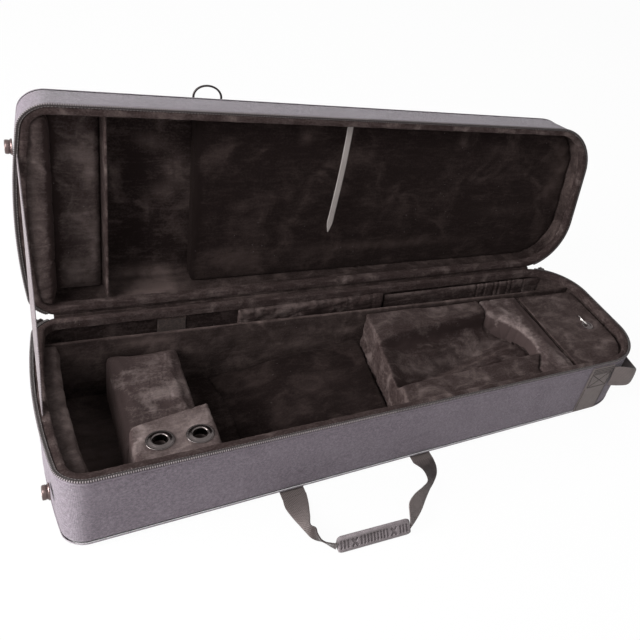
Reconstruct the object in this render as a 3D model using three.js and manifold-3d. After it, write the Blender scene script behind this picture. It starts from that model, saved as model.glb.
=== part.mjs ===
import * as THREE from "three";
import { mergeVertices } from "three/addons/utils/BufferGeometryUtils.js";
import Module from "manifold-3d";

// An open trombone case in millimetres. X runs along the case, Y from its front to the hinge, Z up.
// The origin lies on the floor under the middle of the base.
const wasm = await Module();
wasm.setup();

const gap = 0.3;
const overrun = 5;

const outline = {
  length: 980,
  width: 320,
  leftRadius: 32,
  frontRightRadius: 95,
  backRightRadius: 106,
  bow: 13,
  bowReach: 120,
};
const base = { depth: 134, draft: 7, sign: -1 };
const lid = { depth: 86, draft: 5, sign: 1 };
const shell = { wall: 6.5, floor: 6.5, edgeRound: 18, lining: 2.2 };
const rim = {
  closingGap: 0.4,
  tapeThick: 1.8,
  tapeWidth: 6.5,
  coilRadius: 1.5,
  coilOverhang: 1.3,
  lipWidth: 7.5,
  lipDepth: 14,
  lipCrown: 2,
};
const lidOpenAngle = THREE.MathUtils.degToRad(95);
const plane = base.depth;
const halfLength = outline.length / 2;
const halfWidth = outline.width / 2;
const leftEnd = -halfLength;
const rightEnd = halfLength;
const front = -halfWidth;
const back = halfWidth;
const liningInset = shell.wall + gap + shell.lining;
const padInset = liningInset + gap;
const lipInner = rim.tapeWidth + gap + rim.lipWidth;
const baseFloor = shell.floor + gap + shell.lining + gap;
const lidCeiling = lid.depth - shell.floor - gap - shell.lining - gap;

const colours = {
  nylon: { color: 0x6e6670, roughness: 0.85, metalness: 0 },
  velour: { color: 0x2f2727, roughness: 0.95, metalness: 0 },
  velourLit: { color: 0x453b3a, roughness: 0.95, metalness: 0 },
  tape: { color: 0x35302f, roughness: 0.9, metalness: 0 },
  coil: { color: 0x7b7674, roughness: 0.55, metalness: 0 },
  binding: { color: 0x8b8389, roughness: 0.8, metalness: 0 },
  webbing: { color: 0x625a58, roughness: 0.9, metalness: 0 },
  paleWebbing: { color: 0x9c9492, roughness: 0.9, metalness: 0 },
  rubber: { color: 0x4d4746, roughness: 0.6, metalness: 0 },
  nickel: { color: 0xc9c6c2, roughness: 0.22, metalness: 1 },
  blackWire: { color: 0x2a2626, roughness: 0.4, metalness: 0.6 },
  footMetal: { color: 0x5d4f49, roughness: 0.45, metalness: 0.5 },
};

const root = new THREE.Group();
const baseGroup = new THREE.Group();
const lidGroup = new THREE.Group();
root.add(baseGroup, lidGroup);

function add(group, name, colour, geometry) {
  const mesh = new THREE.Mesh(geometry, new THREE.MeshStandardMaterial(colours[colour]));
  mesh.name = name;
  group.add(mesh);
  return mesh;
}

function closedGeometry(points, faces) {
  let volume = 0;
  const cross = new THREE.Vector3();
  for (const [a, b, c] of faces) volume += points[a].dot(cross.crossVectors(points[b], points[c]));
  const geometry = new THREE.BufferGeometry().setFromPoints(points);
  geometry.setIndex(faces.flatMap(([a, b, c]) => (volume < 0 ? [a, c, b] : [a, b, c])));
  geometry.computeVertexNormals();
  return geometry;
}

function capFaces(ring, first, along) {
  const normal = new THREE.Vector3();
  ring.forEach((p, i) => {
    const q = ring[(i + 1) % ring.length];
    normal.x += (p.y - q.y) * (p.z + q.z);
    normal.y += (p.z - q.z) * (p.x + q.x);
    normal.z += (p.x - q.x) * (p.y + q.y);
  });
  const [ax, ay, az] = normal.toArray().map(Math.abs);
  const flat = ring.map((p) => {
    if (az >= ax && az >= ay) return new THREE.Vector2(p.x, p.y);
    if (ay >= ax) return new THREE.Vector2(p.x, p.z);
    return new THREE.Vector2(p.y, p.z);
  });
  const triangles = THREE.ShapeUtils.triangulateShape(flat, []);
  const follows = triangles.some((t) => t.some((a, i) => (a + 1) % ring.length === t[(i + 1) % 3]));
  return triangles.map(([a, b, c]) => {
    const turned = follows === along ? [a, b, c] : [a, c, b];
    return turned.map((i) => i + first);
  });
}

// Joins rings of equally many points. The end rings are capped, or the last one meets the first.
function skin(rings, loop = false) {
  const count = rings[0].length;
  const faces = [];
  const spans = loop ? rings.length : rings.length - 1;
  for (let r = 0; r < spans; r++) {
    const a = r * count;
    const b = ((r + 1) % rings.length) * count;
    for (let i = 0; i < count; i++) {
      const j = (i + 1) % count;
      faces.push([a + i, a + j, b + j], [a + i, b + j, b + i]);
    }
  }
  if (!loop) {
    faces.push(...capFaces(rings[0], 0, false));
    faces.push(...capFaces(rings[rings.length - 1], (rings.length - 1) * count, true));
  }
  return closedGeometry(rings.flat(), faces);
}

function prism(plan, z0, z1) {
  return skin([z0, z1].map((z) => plan.map(([x, y]) => new THREE.Vector3(x, y, z))));
}

// A section in Y and Z drawn out along X.
function bar(section, x0, x1) {
  return skin([x0, x1].map((x) => section.map(([y, z]) => new THREE.Vector3(x, y, z))));
}

function block(x0, x1, y0, y1, z0, z1) {
  return prism([[x0, y0], [x1, y0], [x1, y1], [x0, y1]], z0, z1);
}

// A plan drawn up in Z with its upper and lower edges rounded.
function softPad(plan, z0, z1, round, steps = 3) {
  const shape = new THREE.Shape(plan.map(([x, y]) => new THREE.Vector2(x, y)));
  const geometry = new THREE.ExtrudeGeometry(shape, {
    depth: z1 - z0 - 2 * round,
    bevelEnabled: true,
    bevelSize: round,
    bevelThickness: round,
    bevelOffset: -round,
    bevelSegments: steps,
    curveSegments: 8,
  });
  return geometry.translate(0, 0, z0 + round);
}

function toSolid(geometry) {
  const bare = geometry.index ? geometry.toNonIndexed() : geometry.clone();
  bare.deleteAttribute("normal");
  bare.deleteAttribute("uv");
  const merged = mergeVertices(bare);
  return new wasm.Manifold(
    new wasm.Mesh({
      numProp: 3,
      vertProperties: merged.attributes.position.array,
      triVerts: new Uint32Array(merged.index.array),
    }),
  );
}

function toGeometry(made) {
  const mesh = made.getMesh();
  const geometry = new THREE.BufferGeometry();
  geometry.setAttribute("position", new THREE.BufferAttribute(new Float32Array(mesh.vertProperties), 3));
  geometry.setIndex(new THREE.BufferAttribute(new Uint32Array(mesh.triVerts), 1));
  geometry.computeVertexNormals();
  return geometry;
}

function cut(geometry, ...tools) {
  return toGeometry(tools.reduce((left, tool) => left.subtract(toSolid(tool)), toSolid(geometry)));
}

function join(...pieces) {
  return toGeometry(pieces.map(toSolid).reduce((all, piece) => all.add(piece)));
}

function within(geometry, space) {
  return toGeometry(toSolid(geometry).intersect(toSolid(space)));
}

const bowPointCount = 6;
const cornerTable = [
  { x: halfLength, y: -halfWidth, radius: outline.frontRightRadius, from: -0.5, steps: 9 },
  { x: halfLength, y: halfWidth, radius: outline.backRightRadius, from: 0, steps: 10 },
  { x: -halfLength, y: halfWidth, radius: outline.leftRadius, from: 0.5, steps: 6 },
  { x: -halfLength, y: -halfWidth, radius: outline.leftRadius, from: 1, steps: 6 },
];

function bowAt(x, y) {
  const near = THREE.MathUtils.clamp(1 - (x + halfLength) / outline.bowReach, 0, 1);
  return outline.bow * near * Math.max(0, 1 - (y / halfWidth) ** 2);
}

function outlinePoints(inset) {
  const points = [];
  for (const corner of cornerTable) {
    const cx = corner.x - Math.sign(corner.x) * corner.radius;
    const cy = corner.y - Math.sign(corner.y) * corner.radius;
    for (let i = 0; i <= corner.steps; i++) {
      const turn = Math.PI * (corner.from + (0.5 * i) / corner.steps);
      const reach = corner.radius - inset;
      points.push(new THREE.Vector2(cx + reach * Math.cos(turn), cy + reach * Math.sin(turn)));
    }
    if (corner.from === 0.5) {
      const last = points[points.length - 1];
      for (let i = 1; i < bowPointCount; i++)
        points.push(new THREE.Vector2(last.x, last.y * (1 - (2 * i) / bowPointCount)));
    }
  }
  return points.map((p) => new THREE.Vector2(p.x - bowAt(p.x - inset, p.y), p.y));
}

const backRightStart = cornerTable[0].steps + 1;
const backLeftStart = backRightStart + cornerTable[1].steps + 1;
const outlineCount = outlinePoints(0).length;

// A half's height for a distance from the plane in which the two rims meet.
function heightOf(half, fromPlane) {
  return plane + half.sign * fromPlane;
}

function draftAt(half, fromPlane) {
  return (half.draft * fromPlane) / half.depth;
}

function outlineRing(half, inset, fromPlane) {
  const z = heightOf(half, fromPlane);
  return outlinePoints(inset + draftAt(half, fromPlane)).map((p) => new THREE.Vector3(p.x, p.y, z));
}

// A closed band all round the outline, from a section of insets and distances from the rim plane.
function band(half, section) {
  return skin(section.map(([inset, fromPlane]) => outlineRing(half, inset, fromPlane)), true);
}

// A band along the outline from just past the back left corner, round the front, to the back right one.
function openBand(half, section) {
  const rings = section.map(([inset, fromPlane]) => outlineRing(half, inset, fromPlane));
  const first = backLeftStart + 2;
  const last = outlineCount + backRightStart + cornerTable[1].steps - 2;
  const stations = [];
  for (let i = first; i <= last; i++) stations.push(rings.map((ring) => ring[i % outlineCount]));
  return skin(stations);
}

// The room inside a half between two distances from the rim plane.
function cavity(half, inset, near, far) {
  return skin([outlineRing(half, inset, near), outlineRing(half, inset, far)]);
}

function shellTray(half) {
  const { wall, floor, edgeRound } = shell;
  const top = rim.closingGap + rim.tapeThick + gap;
  const outer = [[0, top]];
  const roundSteps = 5;
  for (let i = 0; i <= roundSteps; i++) {
    const turn = (Math.PI / 2) * (i / roundSteps);
    outer.push([edgeRound * (1 - Math.cos(turn)), half.depth - edgeRound * (1 - Math.sin(turn))]);
  }
  const inner = [[wall, top], [wall, half.depth - floor]];
  const profile = [...outer.reverse(), ...inner];
  return skin(profile.map(([inset, fromPlane]) => outlineRing(half, inset, fromPlane)));
}

function liningTray(half) {
  const outer = shell.wall + gap;
  const near = rim.lipDepth + gap;
  const far = half.depth - shell.floor - gap;
  const profile = [[outer, far], [outer, near], [liningInset, near], [liningInset, far - shell.lining]];
  return skin(profile.map(([inset, fromPlane]) => outlineRing(half, inset, fromPlane)));
}

function lipBand(half) {
  const outer = rim.tapeWidth + gap;
  const crown = rim.lipCrown;
  const top = rim.closingGap;
  const middle = (outer + lipInner) / 2;
  return band(half, [
    [outer, rim.lipDepth],
    [outer, top + crown / 2],
    [outer + crown / 2, top + gap],
    [middle, top],
    [lipInner - crown, top + crown / 2],
    [lipInner, top + crown * 2],
    [lipInner, rim.lipDepth],
  ]);
}

function coilBand(half) {
  const r = rim.coilRadius;
  const inset = -rim.coilOverhang;
  const depth = rim.closingGap + r;
  const corners = 6;
  const section = [];
  for (let i = 0; i < corners; i++) {
    const turn = ((i + 0.5) / corners) * 2 * Math.PI;
    section.push([inset + r * Math.cos(turn) - gap, depth + r * Math.sin(turn)]);
  }
  return openBand(half, section);
}

function tapeBand(half) {
  const top = rim.closingGap;
  const bottom = top + rim.tapeThick;
  return openBand(half, [[gap, bottom], [gap, top], [rim.tapeWidth, top], [rim.tapeWidth, bottom]]);
}

const seam = { width: 9, thick: 1.3 };

function seamBinding(half) {
  const r = shell.edgeRound;
  const start = Math.PI * 0.14;
  const sweep = seam.width / r;
  const steps = 3;
  const side = (radius, i) => {
    const turn = start + (sweep * i) / steps;
    return [r - radius * Math.cos(turn), half.depth - r + radius * Math.sin(turn)];
  };
  const inner = [];
  const outer = [];
  for (let i = 0; i <= steps; i++) {
    inner.push(side(r + gap, i));
    outer.unshift(side(r + gap + seam.thick, i));
  }
  return band(half, [...inner, ...outer]);
}

for (const [half, group, word] of [[base, baseGroup, "base"], [lid, lidGroup, "lid"]]) {
  add(group, word + "_shell", "nylon", shellTray(half));
  add(group, word + "_lining", "velour", liningTray(half));
  add(group, word + "_rim_lip", "velourLit", lipBand(half));
  add(group, word + "_zip_tape", "tape", tapeBand(half));
  add(group, word + "_zip_coil", "coil", coilBand(half));
  add(group, word + "_seam_binding", "binding", seamBinding(half));
}

const divider = { thick: 6, drop: 16, leftFromBack: 45, rightFromBack: 69 };

function dividerY(x) {
  const share = (x - leftEnd) / outline.length;
  return back - THREE.MathUtils.lerp(divider.leftFromBack, divider.rightFromBack, share);
}

const baseRoom = (inset, near) => cavity(base, inset, near, base.depth - baseFloor);
const underLip = rim.lipDepth + gap;

function addDivider() {
  const { thick, drop } = divider;
  const top = plane - drop;
  const round = thick / 2;
  const ends = [leftEnd, rightEnd].map((x) => {
    const y = dividerY(x);
    return [
      [y, baseFloor], [y + thick, baseFloor], [y + thick, top - round],
      [y + thick * 0.75, top], [y + thick * 0.25, top], [y, top - round],
    ].map(([py, pz]) => new THREE.Vector3(x, py, pz));
  });
  add(baseGroup, "slide_divider", "velour", within(skin(ends), baseRoom(padInset, underLip)));
}

// Keeps a base piece in front of the divider.
function frontOfDivider() {
  const x0 = leftEnd - outline.bow;
  return prism([
    [x0, front], [rightEnd, front], [rightEnd, dividerY(rightEnd) - gap], [x0, dividerY(x0) - gap],
  ], 0, plane);
}

const endPad = { fromEnd: 21, sweep: 10, sweepReach: 150, middleY: 30, drop: 15 };

function addEndPad() {
  const plan = [[leftEnd - outline.bow, back], [leftEnd - outline.bow, front]];
  const middleX = leftEnd + endPad.fromEnd;
  const steps = 8;
  for (let i = 0; i <= steps; i++) {
    const y = THREE.MathUtils.lerp(front, back, i / steps);
    plan.push([middleX + endPad.sweep * ((y - endPad.middleY) / endPad.sweepReach) ** 2, y]);
  }
  const pad = within(prism(plan, baseFloor, plane - endPad.drop), frontOfDivider());
  add(baseGroup, "left_end_pad", "velourLit", within(pad, baseRoom(padInset, underLip)));
}

const bridge = { fromEnd: 82, width: 97, drop: 48, round: 7 };
const mouthBlock = {
  fromEnd: 82,
  width: 103,
  drop: 15,
  leftDepth: 91,
  rightDepth: 108,
  cornerRound: 16,
  edgeRound: 3,
};
const mouthTop = plane - mouthBlock.drop;
const grommet = {
  centres: [[114, 53], [162, 50]],
  flangeRadius: 17.5,
  holeRadius: 8.6,
  barrelRadius: 10.2,
  barrelDepth: 9,
  height: 2.8,
  holeDepth: 62,
};

function mouthPlan(inset) {
  const m = mouthBlock;
  const shape = new THREE.Shape();
  const left = leftEnd + m.fromEnd + inset;
  const right = leftEnd + m.fromEnd + m.width - inset;
  const leftY = front + m.leftDepth - inset;
  shape.moveTo(left, front);
  shape.lineTo(right, front);
  shape.lineTo(right, front + m.rightDepth - inset);
  shape.lineTo(left + m.cornerRound, leftY);
  shape.quadraticCurveTo(left, leftY, left, leftY - m.cornerRound);
  return shape.getPoints(4).map((p) => [p.x, p.y]);
}

function addBridge() {
  const b = bridge;
  const left = leftEnd + b.fromEnd;
  const right = left + b.width;
  const saddle = softPad([
    [left, front], [right, front], [right, back], [left, back],
  ], baseFloor - b.round, plane - b.drop, b.round);
  const clear = prism(mouthPlan(-gap), 0, plane);
  const fitted = within(within(saddle, frontOfDivider()), baseRoom(padInset, underLip));
  add(baseGroup, "bridge_saddle", "velourLit", cut(fitted, clear));
  const m = mouthBlock;
  const { barrelRadius, holeDepth } = grommet;
  const holes = grommet.centres.map(([x, y]) => {
    const hole = new THREE.CylinderGeometry(barrelRadius, barrelRadius, holeDepth, 16);
    const z = mouthTop - holeDepth / 2 + overrun;
    return hole.rotateX(Math.PI / 2).translate(leftEnd + x, front + y, z);
  });
  const whole = softPad(mouthPlan(0), baseFloor - m.edgeRound, mouthTop, m.edgeRound);
  const raised = within(whole, baseRoom(padInset, underLip));
  add(baseGroup, "mouthpiece_block", "velourLit", cut(raised, ...holes));
}

function addGrommets() {
  const g = grommet;
  const seat = gap;
  const barrel = g.barrelRadius - gap;
  const rise = g.height;
  const profile = [
    [g.holeRadius, -g.barrelDepth], [barrel, -g.barrelDepth], [barrel, seat], [g.flangeRadius, seat],
    [g.flangeRadius, seat + rise * 0.35], [(g.flangeRadius * 3 + g.holeRadius) / 4, seat + rise * 0.85],
    [(g.flangeRadius + g.holeRadius) / 2, seat + rise],
    [(g.flangeRadius + g.holeRadius * 3) / 4, seat + rise * 0.8], [g.holeRadius, seat],
    [g.holeRadius, -g.barrelDepth],
  ].map(([x, y]) => new THREE.Vector2(x, y));
  ["left", "right"].forEach((word, i) => {
    const ring = new THREE.LatheGeometry(profile, 28).rotateX(Math.PI / 2);
    add(baseGroup, "grommet_" + word, "nickel", ring)
      .position.set(leftEnd + g.centres[i][0], front + g.centres[i][1], mouthTop);
  });
}

// The bed under the flare of the bell: low at the rim's slot, higher towards the cradle.
const wellBed = {
  fromEnd: 228,
  heights: [16, 30, 41, 47, 51],
  trough: 7,
};

// A solid from lines of surface points, each line as long as the next, down to a flat bottom.
function heightPatch(lines, bottom) {
  const columns = lines[0].length;
  const lastRow = lines.length - 1;
  const lastColumn = columns - 1;
  const points = [];
  const faces = [];
  for (const line of lines)
    for (const [x, y, z] of line) points.push(new THREE.Vector3(x, y, z), new THREE.Vector3(x, y, bottom));
  const top = (i, j) => 2 * (i * columns + j);
  const under = (i, j) => top(i, j) + 1;
  const quad = (a, b, c, d) => faces.push([a, b, c], [a, c, d]);
  for (let i = 0; i < lastRow; i++) {
    for (let j = 0; j < lastColumn; j++) {
      quad(top(i, j), top(i + 1, j), top(i + 1, j + 1), top(i, j + 1));
      quad(under(i, j), under(i, j + 1), under(i + 1, j + 1), under(i + 1, j));
    }
    quad(under(i, 0), under(i + 1, 0), top(i + 1, 0), top(i, 0));
    quad(under(i + 1, lastColumn), under(i, lastColumn), top(i, lastColumn), top(i + 1, lastColumn));
  }
  for (let j = 0; j < lastColumn; j++) {
    quad(under(0, j + 1), under(0, j), top(0, j), top(0, j + 1));
    quad(under(lastRow, j), under(lastRow, j + 1), top(lastRow, j + 1), top(lastRow, j));
  }
  return closedGeometry(points, faces);
}

function addWellBed() {
  const w = wellBed;
  const right = rightEnd - cradle.leftFromEnd - gap;
  const lines = w.heights.map((height, i) => {
    const x = THREE.MathUtils.lerp(leftEnd + w.fromEnd, right, i / (w.heights.length - 1));
    const steps = 6;
    return Array.from({ length: steps + 1 }, (_, k) => {
      const y = THREE.MathUtils.lerp(front, back, k / steps);
      return [x, y, height - w.trough * (1 - (y / halfWidth) ** 2)];
    });
  });
  const bed = within(heightPatch(lines, baseFloor - overrun), frontOfDivider());
  add(baseGroup, "bell_well_bed", "velour", within(bed, baseRoom(padInset, underLip)));
}

const cradle = {
  leftFromEnd: 515,
  rightFromEnd: 200,
  drop: 22,
  ledgeFromFront: [72, 87],
  ledgeFromBack: [133, 95],
  valleyShares: [0.07, 0.79],
  frontDrop: [33, 48],
  valleyDrop: [38, 62],
  backDrop: [25, 52],
  bandCrown: 6,
  ledgeDrop: 2.5,
  edgeSoft: 2.5,
};
const bow = {
  fromEnd: 304,
  fromFront: 122,
  radius: 100,
  fromShare: -0.27,
  toShare: 0.32,
  rightFromEnd: 159,
  drop: 21,
  edgeRound: 5,
};

function bowEdge(clearance) {
  const steps = 12;
  const x = rightEnd - bow.fromEnd;
  const y = front + bow.fromFront;
  const points = [];
  for (let i = 0; i <= steps; i++) {
    const turn = Math.PI * THREE.MathUtils.lerp(bow.fromShare, bow.toShare, i / steps);
    const reach = bow.radius - clearance;
    points.push([x + reach * Math.cos(turn), y + reach * Math.sin(turn)]);
  }
  return points;
}

function addCradle() {
  const c = cradle;
  const left = rightEnd - c.leftFromEnd;
  const top = plane - c.drop;
  const steps = 9;
  const lines = Array.from({ length: steps + 1 }, (_, i) => {
    const along = i / steps;
    const at = (pair) => THREE.MathUtils.lerp(pair[0], pair[1], along);
    const x = THREE.MathUtils.lerp(left, rightEnd - c.rightFromEnd, along);
    const ledge = front + at(c.ledgeFromFront);
    const rest = back - at(c.ledgeFromBack);
    const valley = THREE.MathUtils.lerp(ledge, rest, at(c.valleyShares));
    const foot = ledge + c.ledgeDrop;
    const backFoot = rest - c.ledgeDrop;
    const frontHeight = plane - at(c.frontDrop);
    const valleyHeight = plane - at(c.valleyDrop);
    const backHeight = plane - at(c.backDrop);
    return [
      [x, front, top],
      [x, ledge - c.edgeSoft, top],
      [x, ledge, top - c.edgeSoft / 2],
      [x, foot, frontHeight],
      [x, (foot + valley) / 2, (frontHeight + valleyHeight) / 2 + c.bandCrown],
      [x, valley, valleyHeight],
      [x, (valley + backFoot) / 2, (valleyHeight + backHeight) / 2 + c.bandCrown / 2],
      [x, backFoot, backHeight],
      [x, rest, top - c.edgeSoft / 2],
      [x, rest + c.edgeSoft, top],
      [x, back, top],
    ];
  });
  const edge = bowEdge(gap);
  const first = edge[0];
  const last = edge[edge.length - 1];
  const keep = prism([
    [left - overrun, front], [first[0], front], ...edge, [last[0], back], [left - overrun, back],
  ], 0, plane);
  const shaped = within(within(heightPatch(lines, baseFloor - overrun), keep), frontOfDivider());
  add(baseGroup, "bell_cradle", "velourLit", within(shaped, baseRoom(padInset, underLip)));
}

function addBowBlock() {
  const edge = bowEdge(0).reverse();
  const right = rightEnd - bow.rightFromEnd;
  const plan = [
    [right, front], [right, back], [edge[0][0], back], ...edge, [edge[edge.length - 1][0], front],
  ];
  const whole = softPad(plan, baseFloor - bow.edgeRound, plane - bow.drop, bow.edgeRound, 2);
  const raised = within(whole, frontOfDivider());
  add(baseGroup, "bow_block", "velourLit", within(raised, baseRoom(padInset, underLip)));
}

const box = {
  fromEnd: 158,
  drop: 24,
  wall: 8,
  backWall: 10,
  floor: 14,
  panelThick: 4,
  panelRound: 1.2,
  panelBackGap: 10,
};
const boxTop = plane - box.drop;
const boxLeft = rightEnd - box.fromEnd + gap;

function addAccessoryBox() {
  const b = box;
  const whole = within(block(boxLeft, rightEnd, front, back, baseFloor, boxTop), frontOfDivider());
  const body = within(whole, cavity(base, padInset, underLip, base.depth - baseFloor));
  const backY = (x) => dividerY(x) - b.backWall;
  const left = boxLeft + b.wall;
  const pocketPlan = [[left, front], [rightEnd, front], [rightEnd, backY(rightEnd)], [left, backY(boxLeft)]];
  const room = cavity(base, padInset + b.wall, 0, base.depth - gap);
  const pocket = within(prism(pocketPlan, baseFloor + b.floor, plane), room);
  add(baseGroup, "accessory_box", "velour", cut(body, pocket));
}

const eyelet = { fromEnd: 55, fromFront: 129, outer: 13, height: 1.6, lugX: -5, lugY: 3, post: 1.4 };

function addAccessoryLid() {
  const b = box;
  const z = boxTop + gap;
  const left = boxLeft + gap;
  const plan = [
    [left, front], [rightEnd, front],
    [rightEnd, dividerY(rightEnd) - b.panelBackGap], [left, dividerY(boxLeft - gap) - b.panelBackGap],
  ];
  const room = cavity(base, lipInner + gap + b.panelRound, 0, base.depth);
  add(baseGroup, "accessory_lid", "velourLit", within(prism(plan, z, z + b.panelThick), room));
}

const pullRing = { radius: 13, wire: 1.3, lift: THREE.MathUtils.degToRad(38) };

function addPullRing() {
  const e = eyelet;
  const r = pullRing;
  const z = boxTop + gap + box.panelThick + gap;
  const x = rightEnd - e.fromEnd;
  const y = front + e.fromFront;
  const seatProfile = [
    [0, 0], [e.outer, 0], [e.outer, e.height * 0.5], [e.outer * 0.8, e.height], [0, e.height],
  ].map(([x, y]) => new THREE.Vector2(x, y));
  const seat = new THREE.LatheGeometry(seatProfile, 20).rotateX(Math.PI / 2);
  const lugHeight = r.wire * 4;
  const lug = block(-r.wire * 2, r.wire * 2, -e.post, e.post, e.height / 2, e.height + lugHeight);
  const bore = new THREE.CylinderGeometry(r.wire + gap, r.wire + gap, e.outer, 10);
  bore.translate(0, 0, e.height + r.wire * 2);
  lug.translate(e.lugX, e.lugY, 0);
  bore.translate(e.lugX, e.lugY, 0);
  const mount = cut(join(seat, lug), bore);
  add(baseGroup, "pull_eyelet", "nickel", mount).position.set(x, y, z);
  const ring = new THREE.TorusGeometry(r.radius, r.wire, 8, 28);
  ring.translate(-r.radius, 0, 0).rotateY(r.lift);
  add(baseGroup, "pull_ring", "nickel", ring)
    .position.set(x + e.lugX, y + e.lugY, z + e.height + r.wire * 2);
}

const channelPad = {
  left: { fromEnd: 276, x1: 48, fromBack: 26, drop: 9 },
  right: { x0: 52, fromEnd: 44, fromBack: 22, drop: 15 },
  round: 3,
  pleatsFromEnd: [208, 184, 172, 150],
  pleatWidth: 3,
  pleatDepth: 2.5,
};

function addChannelPads() {
  const c = channelPad;
  const lipFace = halfWidth - lipInner - gap - draftAt(base, rim.lipDepth);
  const wallFace = halfWidth - padInset - base.draft;
  const under = plane - underLip - gap;
  const face = back - c.left.fromBack;
  const top = plane - c.left.drop;
  const high = [
    [face, baseFloor], [wallFace, baseFloor], [wallFace, under], [lipFace, under],
    [lipFace, top - c.round], [lipFace - c.round, top], [face + c.round, top], [face, top - c.round],
  ];
  add(baseGroup, "slide_rest_left", "velourLit", bar(high, leftEnd + c.left.fromEnd, c.left.x1));
  const lowFace = back - c.right.fromBack;
  const lowTop = plane - c.right.drop;
  const grooves = c.pleatsFromEnd.map((distance) => {
    const x = rightEnd - distance;
    const side = c.pleatWidth / 2;
    return prism([
      [x - side, lowFace - overrun], [x + side, lowFace - overrun], [x + side, lowFace],
      [x, lowFace + c.pleatDepth], [x - side, lowFace],
    ], 0, plane);
  });
  const low = [
    [lowFace, baseFloor], [wallFace, baseFloor], [wallFace, lowTop],
    [lowFace + c.round, lowTop], [lowFace, lowTop - c.round],
  ];
  const fitted = within(bar(low, c.right.x0, rightEnd - c.right.fromEnd), baseRoom(padInset, underLip));
  add(baseGroup, "slide_rest_right", "velour", cut(fitted, ...grooves));
}

const hookPatch = { fromEnd: 158, length: 41, lowDrop: 44, highDrop: 18, thick: 1.6 };

function addHookPatch() {
  const h = hookPatch;
  const x = leftEnd + h.fromEnd;
  const face = (drop) => back - padInset - draftAt(base, drop);
  const section = [
    [face(h.lowDrop), plane - h.lowDrop], [face(h.highDrop), plane - h.highDrop],
    [face(h.highDrop) - h.thick, plane - h.highDrop], [face(h.lowDrop) - h.thick, plane - h.lowDrop],
  ];
  add(baseGroup, "hook_patch", "tape", bar(section, x, x + h.length));
}

addDivider();
addEndPad();
addBridge();
addGrommets();
addWellBed();
addCradle();
addBowBlock();
addAccessoryBox();
addAccessoryLid();
addPullRing();
addChannelPads();
addHookPatch();

const lidPads = {
  endReach: 27,
  endTop: 3,
  wellReach: 92,
  wellTop: 52,
  boardThick: 3.5,
  boardTop: 13,
  panelFromEnd: 215,
  panelTop: 43,
};
const lidRoom = (inset, near) => cavity(lid, inset, near, lidCeiling);

function lidSlab(x0, x1, top, inset) {
  const slab = block(x0, x1, front, back, plane + top, plane + lidCeiling);
  return within(slab, lidRoom(inset, 0));
}

function addLidPads() {
  const p = lidPads;
  const tall = lipInner + gap;
  const endX = leftEnd + p.endReach;
  const wellX = leftEnd + p.wellReach;
  const boardX = wellX + gap;
  add(lidGroup, "lid_end_pad", "velourLit", lidSlab(leftEnd - outline.bow, endX, p.endTop, tall));
  add(lidGroup, "lid_well_pad", "velourLit", lidSlab(endX + gap, wellX, p.wellTop, padInset));
  add(lidGroup, "lid_partition", "velourLit", lidSlab(boardX, boardX + p.boardThick, p.boardTop, tall));
  add(lidGroup, "lid_panel", "velour", lidSlab(leftEnd + p.panelFromEnd, rightEnd, p.panelTop, padInset));
}

const lidStrap = { x: -45, drift: -15, fromFront: 10.8, from: 16.5, length: 203, width: 10, thick: 2 };

function addLidStrap() {
  const s = lidStrap;
  const shape = new THREE.Shape();
  const half = s.width / 2;
  shape.moveTo(-half, 0);
  shape.lineTo(half, 0);
  shape.lineTo(half, s.length - half);
  shape.absarc(0, s.length - half, half, 0, Math.PI, false);
  const strap = new THREE.ExtrudeGeometry(shape, { depth: s.thick, bevelEnabled: false, curveSegments: 6 });
  strap.rotateZ(-Math.atan2(s.drift, s.length));
  strap.rotateX(lidOpenAngle - Math.PI / 2);
  add(lidGroup, "lid_strap", "paleWebbing", strap).position.set(s.x, front + s.fromFront, plane + s.from);
}

addLidPads();
addLidStrap();

const foot = { radius: 9.5, length: 8.5, collar: 11, collarThick: 2, round: 1.5 };
const baseFoot = { fromFront: 60, fromPlane: 72 };
const lidFoot = { fromFront: 75, fromPlane: 42 };

function addFoot(half, group, name, place) {
  const f = foot;
  const profile = [
    [0, 0], [f.collar, 0], [f.collar, f.collarThick], [f.radius, f.collarThick],
    [f.radius, f.length - f.round], [f.radius - f.round, f.length], [0, f.length],
  ].map(([x, y]) => new THREE.Vector2(x, y));
  const y = front + place.fromFront;
  const wallX = leftEnd + draftAt(half, place.fromPlane - f.collar) - bowAt(leftEnd, y + f.collar);
  const lathe = new THREE.LatheGeometry(profile, 20).rotateZ(Math.PI / 2);
  add(group, name, "footMetal", lathe)
    .position.set(wallX - gap, y, heightOf(half, place.fromPlane));
}

addFoot(base, baseGroup, "base_foot", baseFoot);
addFoot(lid, lidGroup, "lid_foot", lidFoot);

const dRing = {
  fromEnd: 240,
  width: 40,
  wire: 1.6,
  legs: 12,
  tabWidth: 30,
  tabLength: 30,
  tabThick: 2.2,
  overhang: 2,
};

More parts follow.
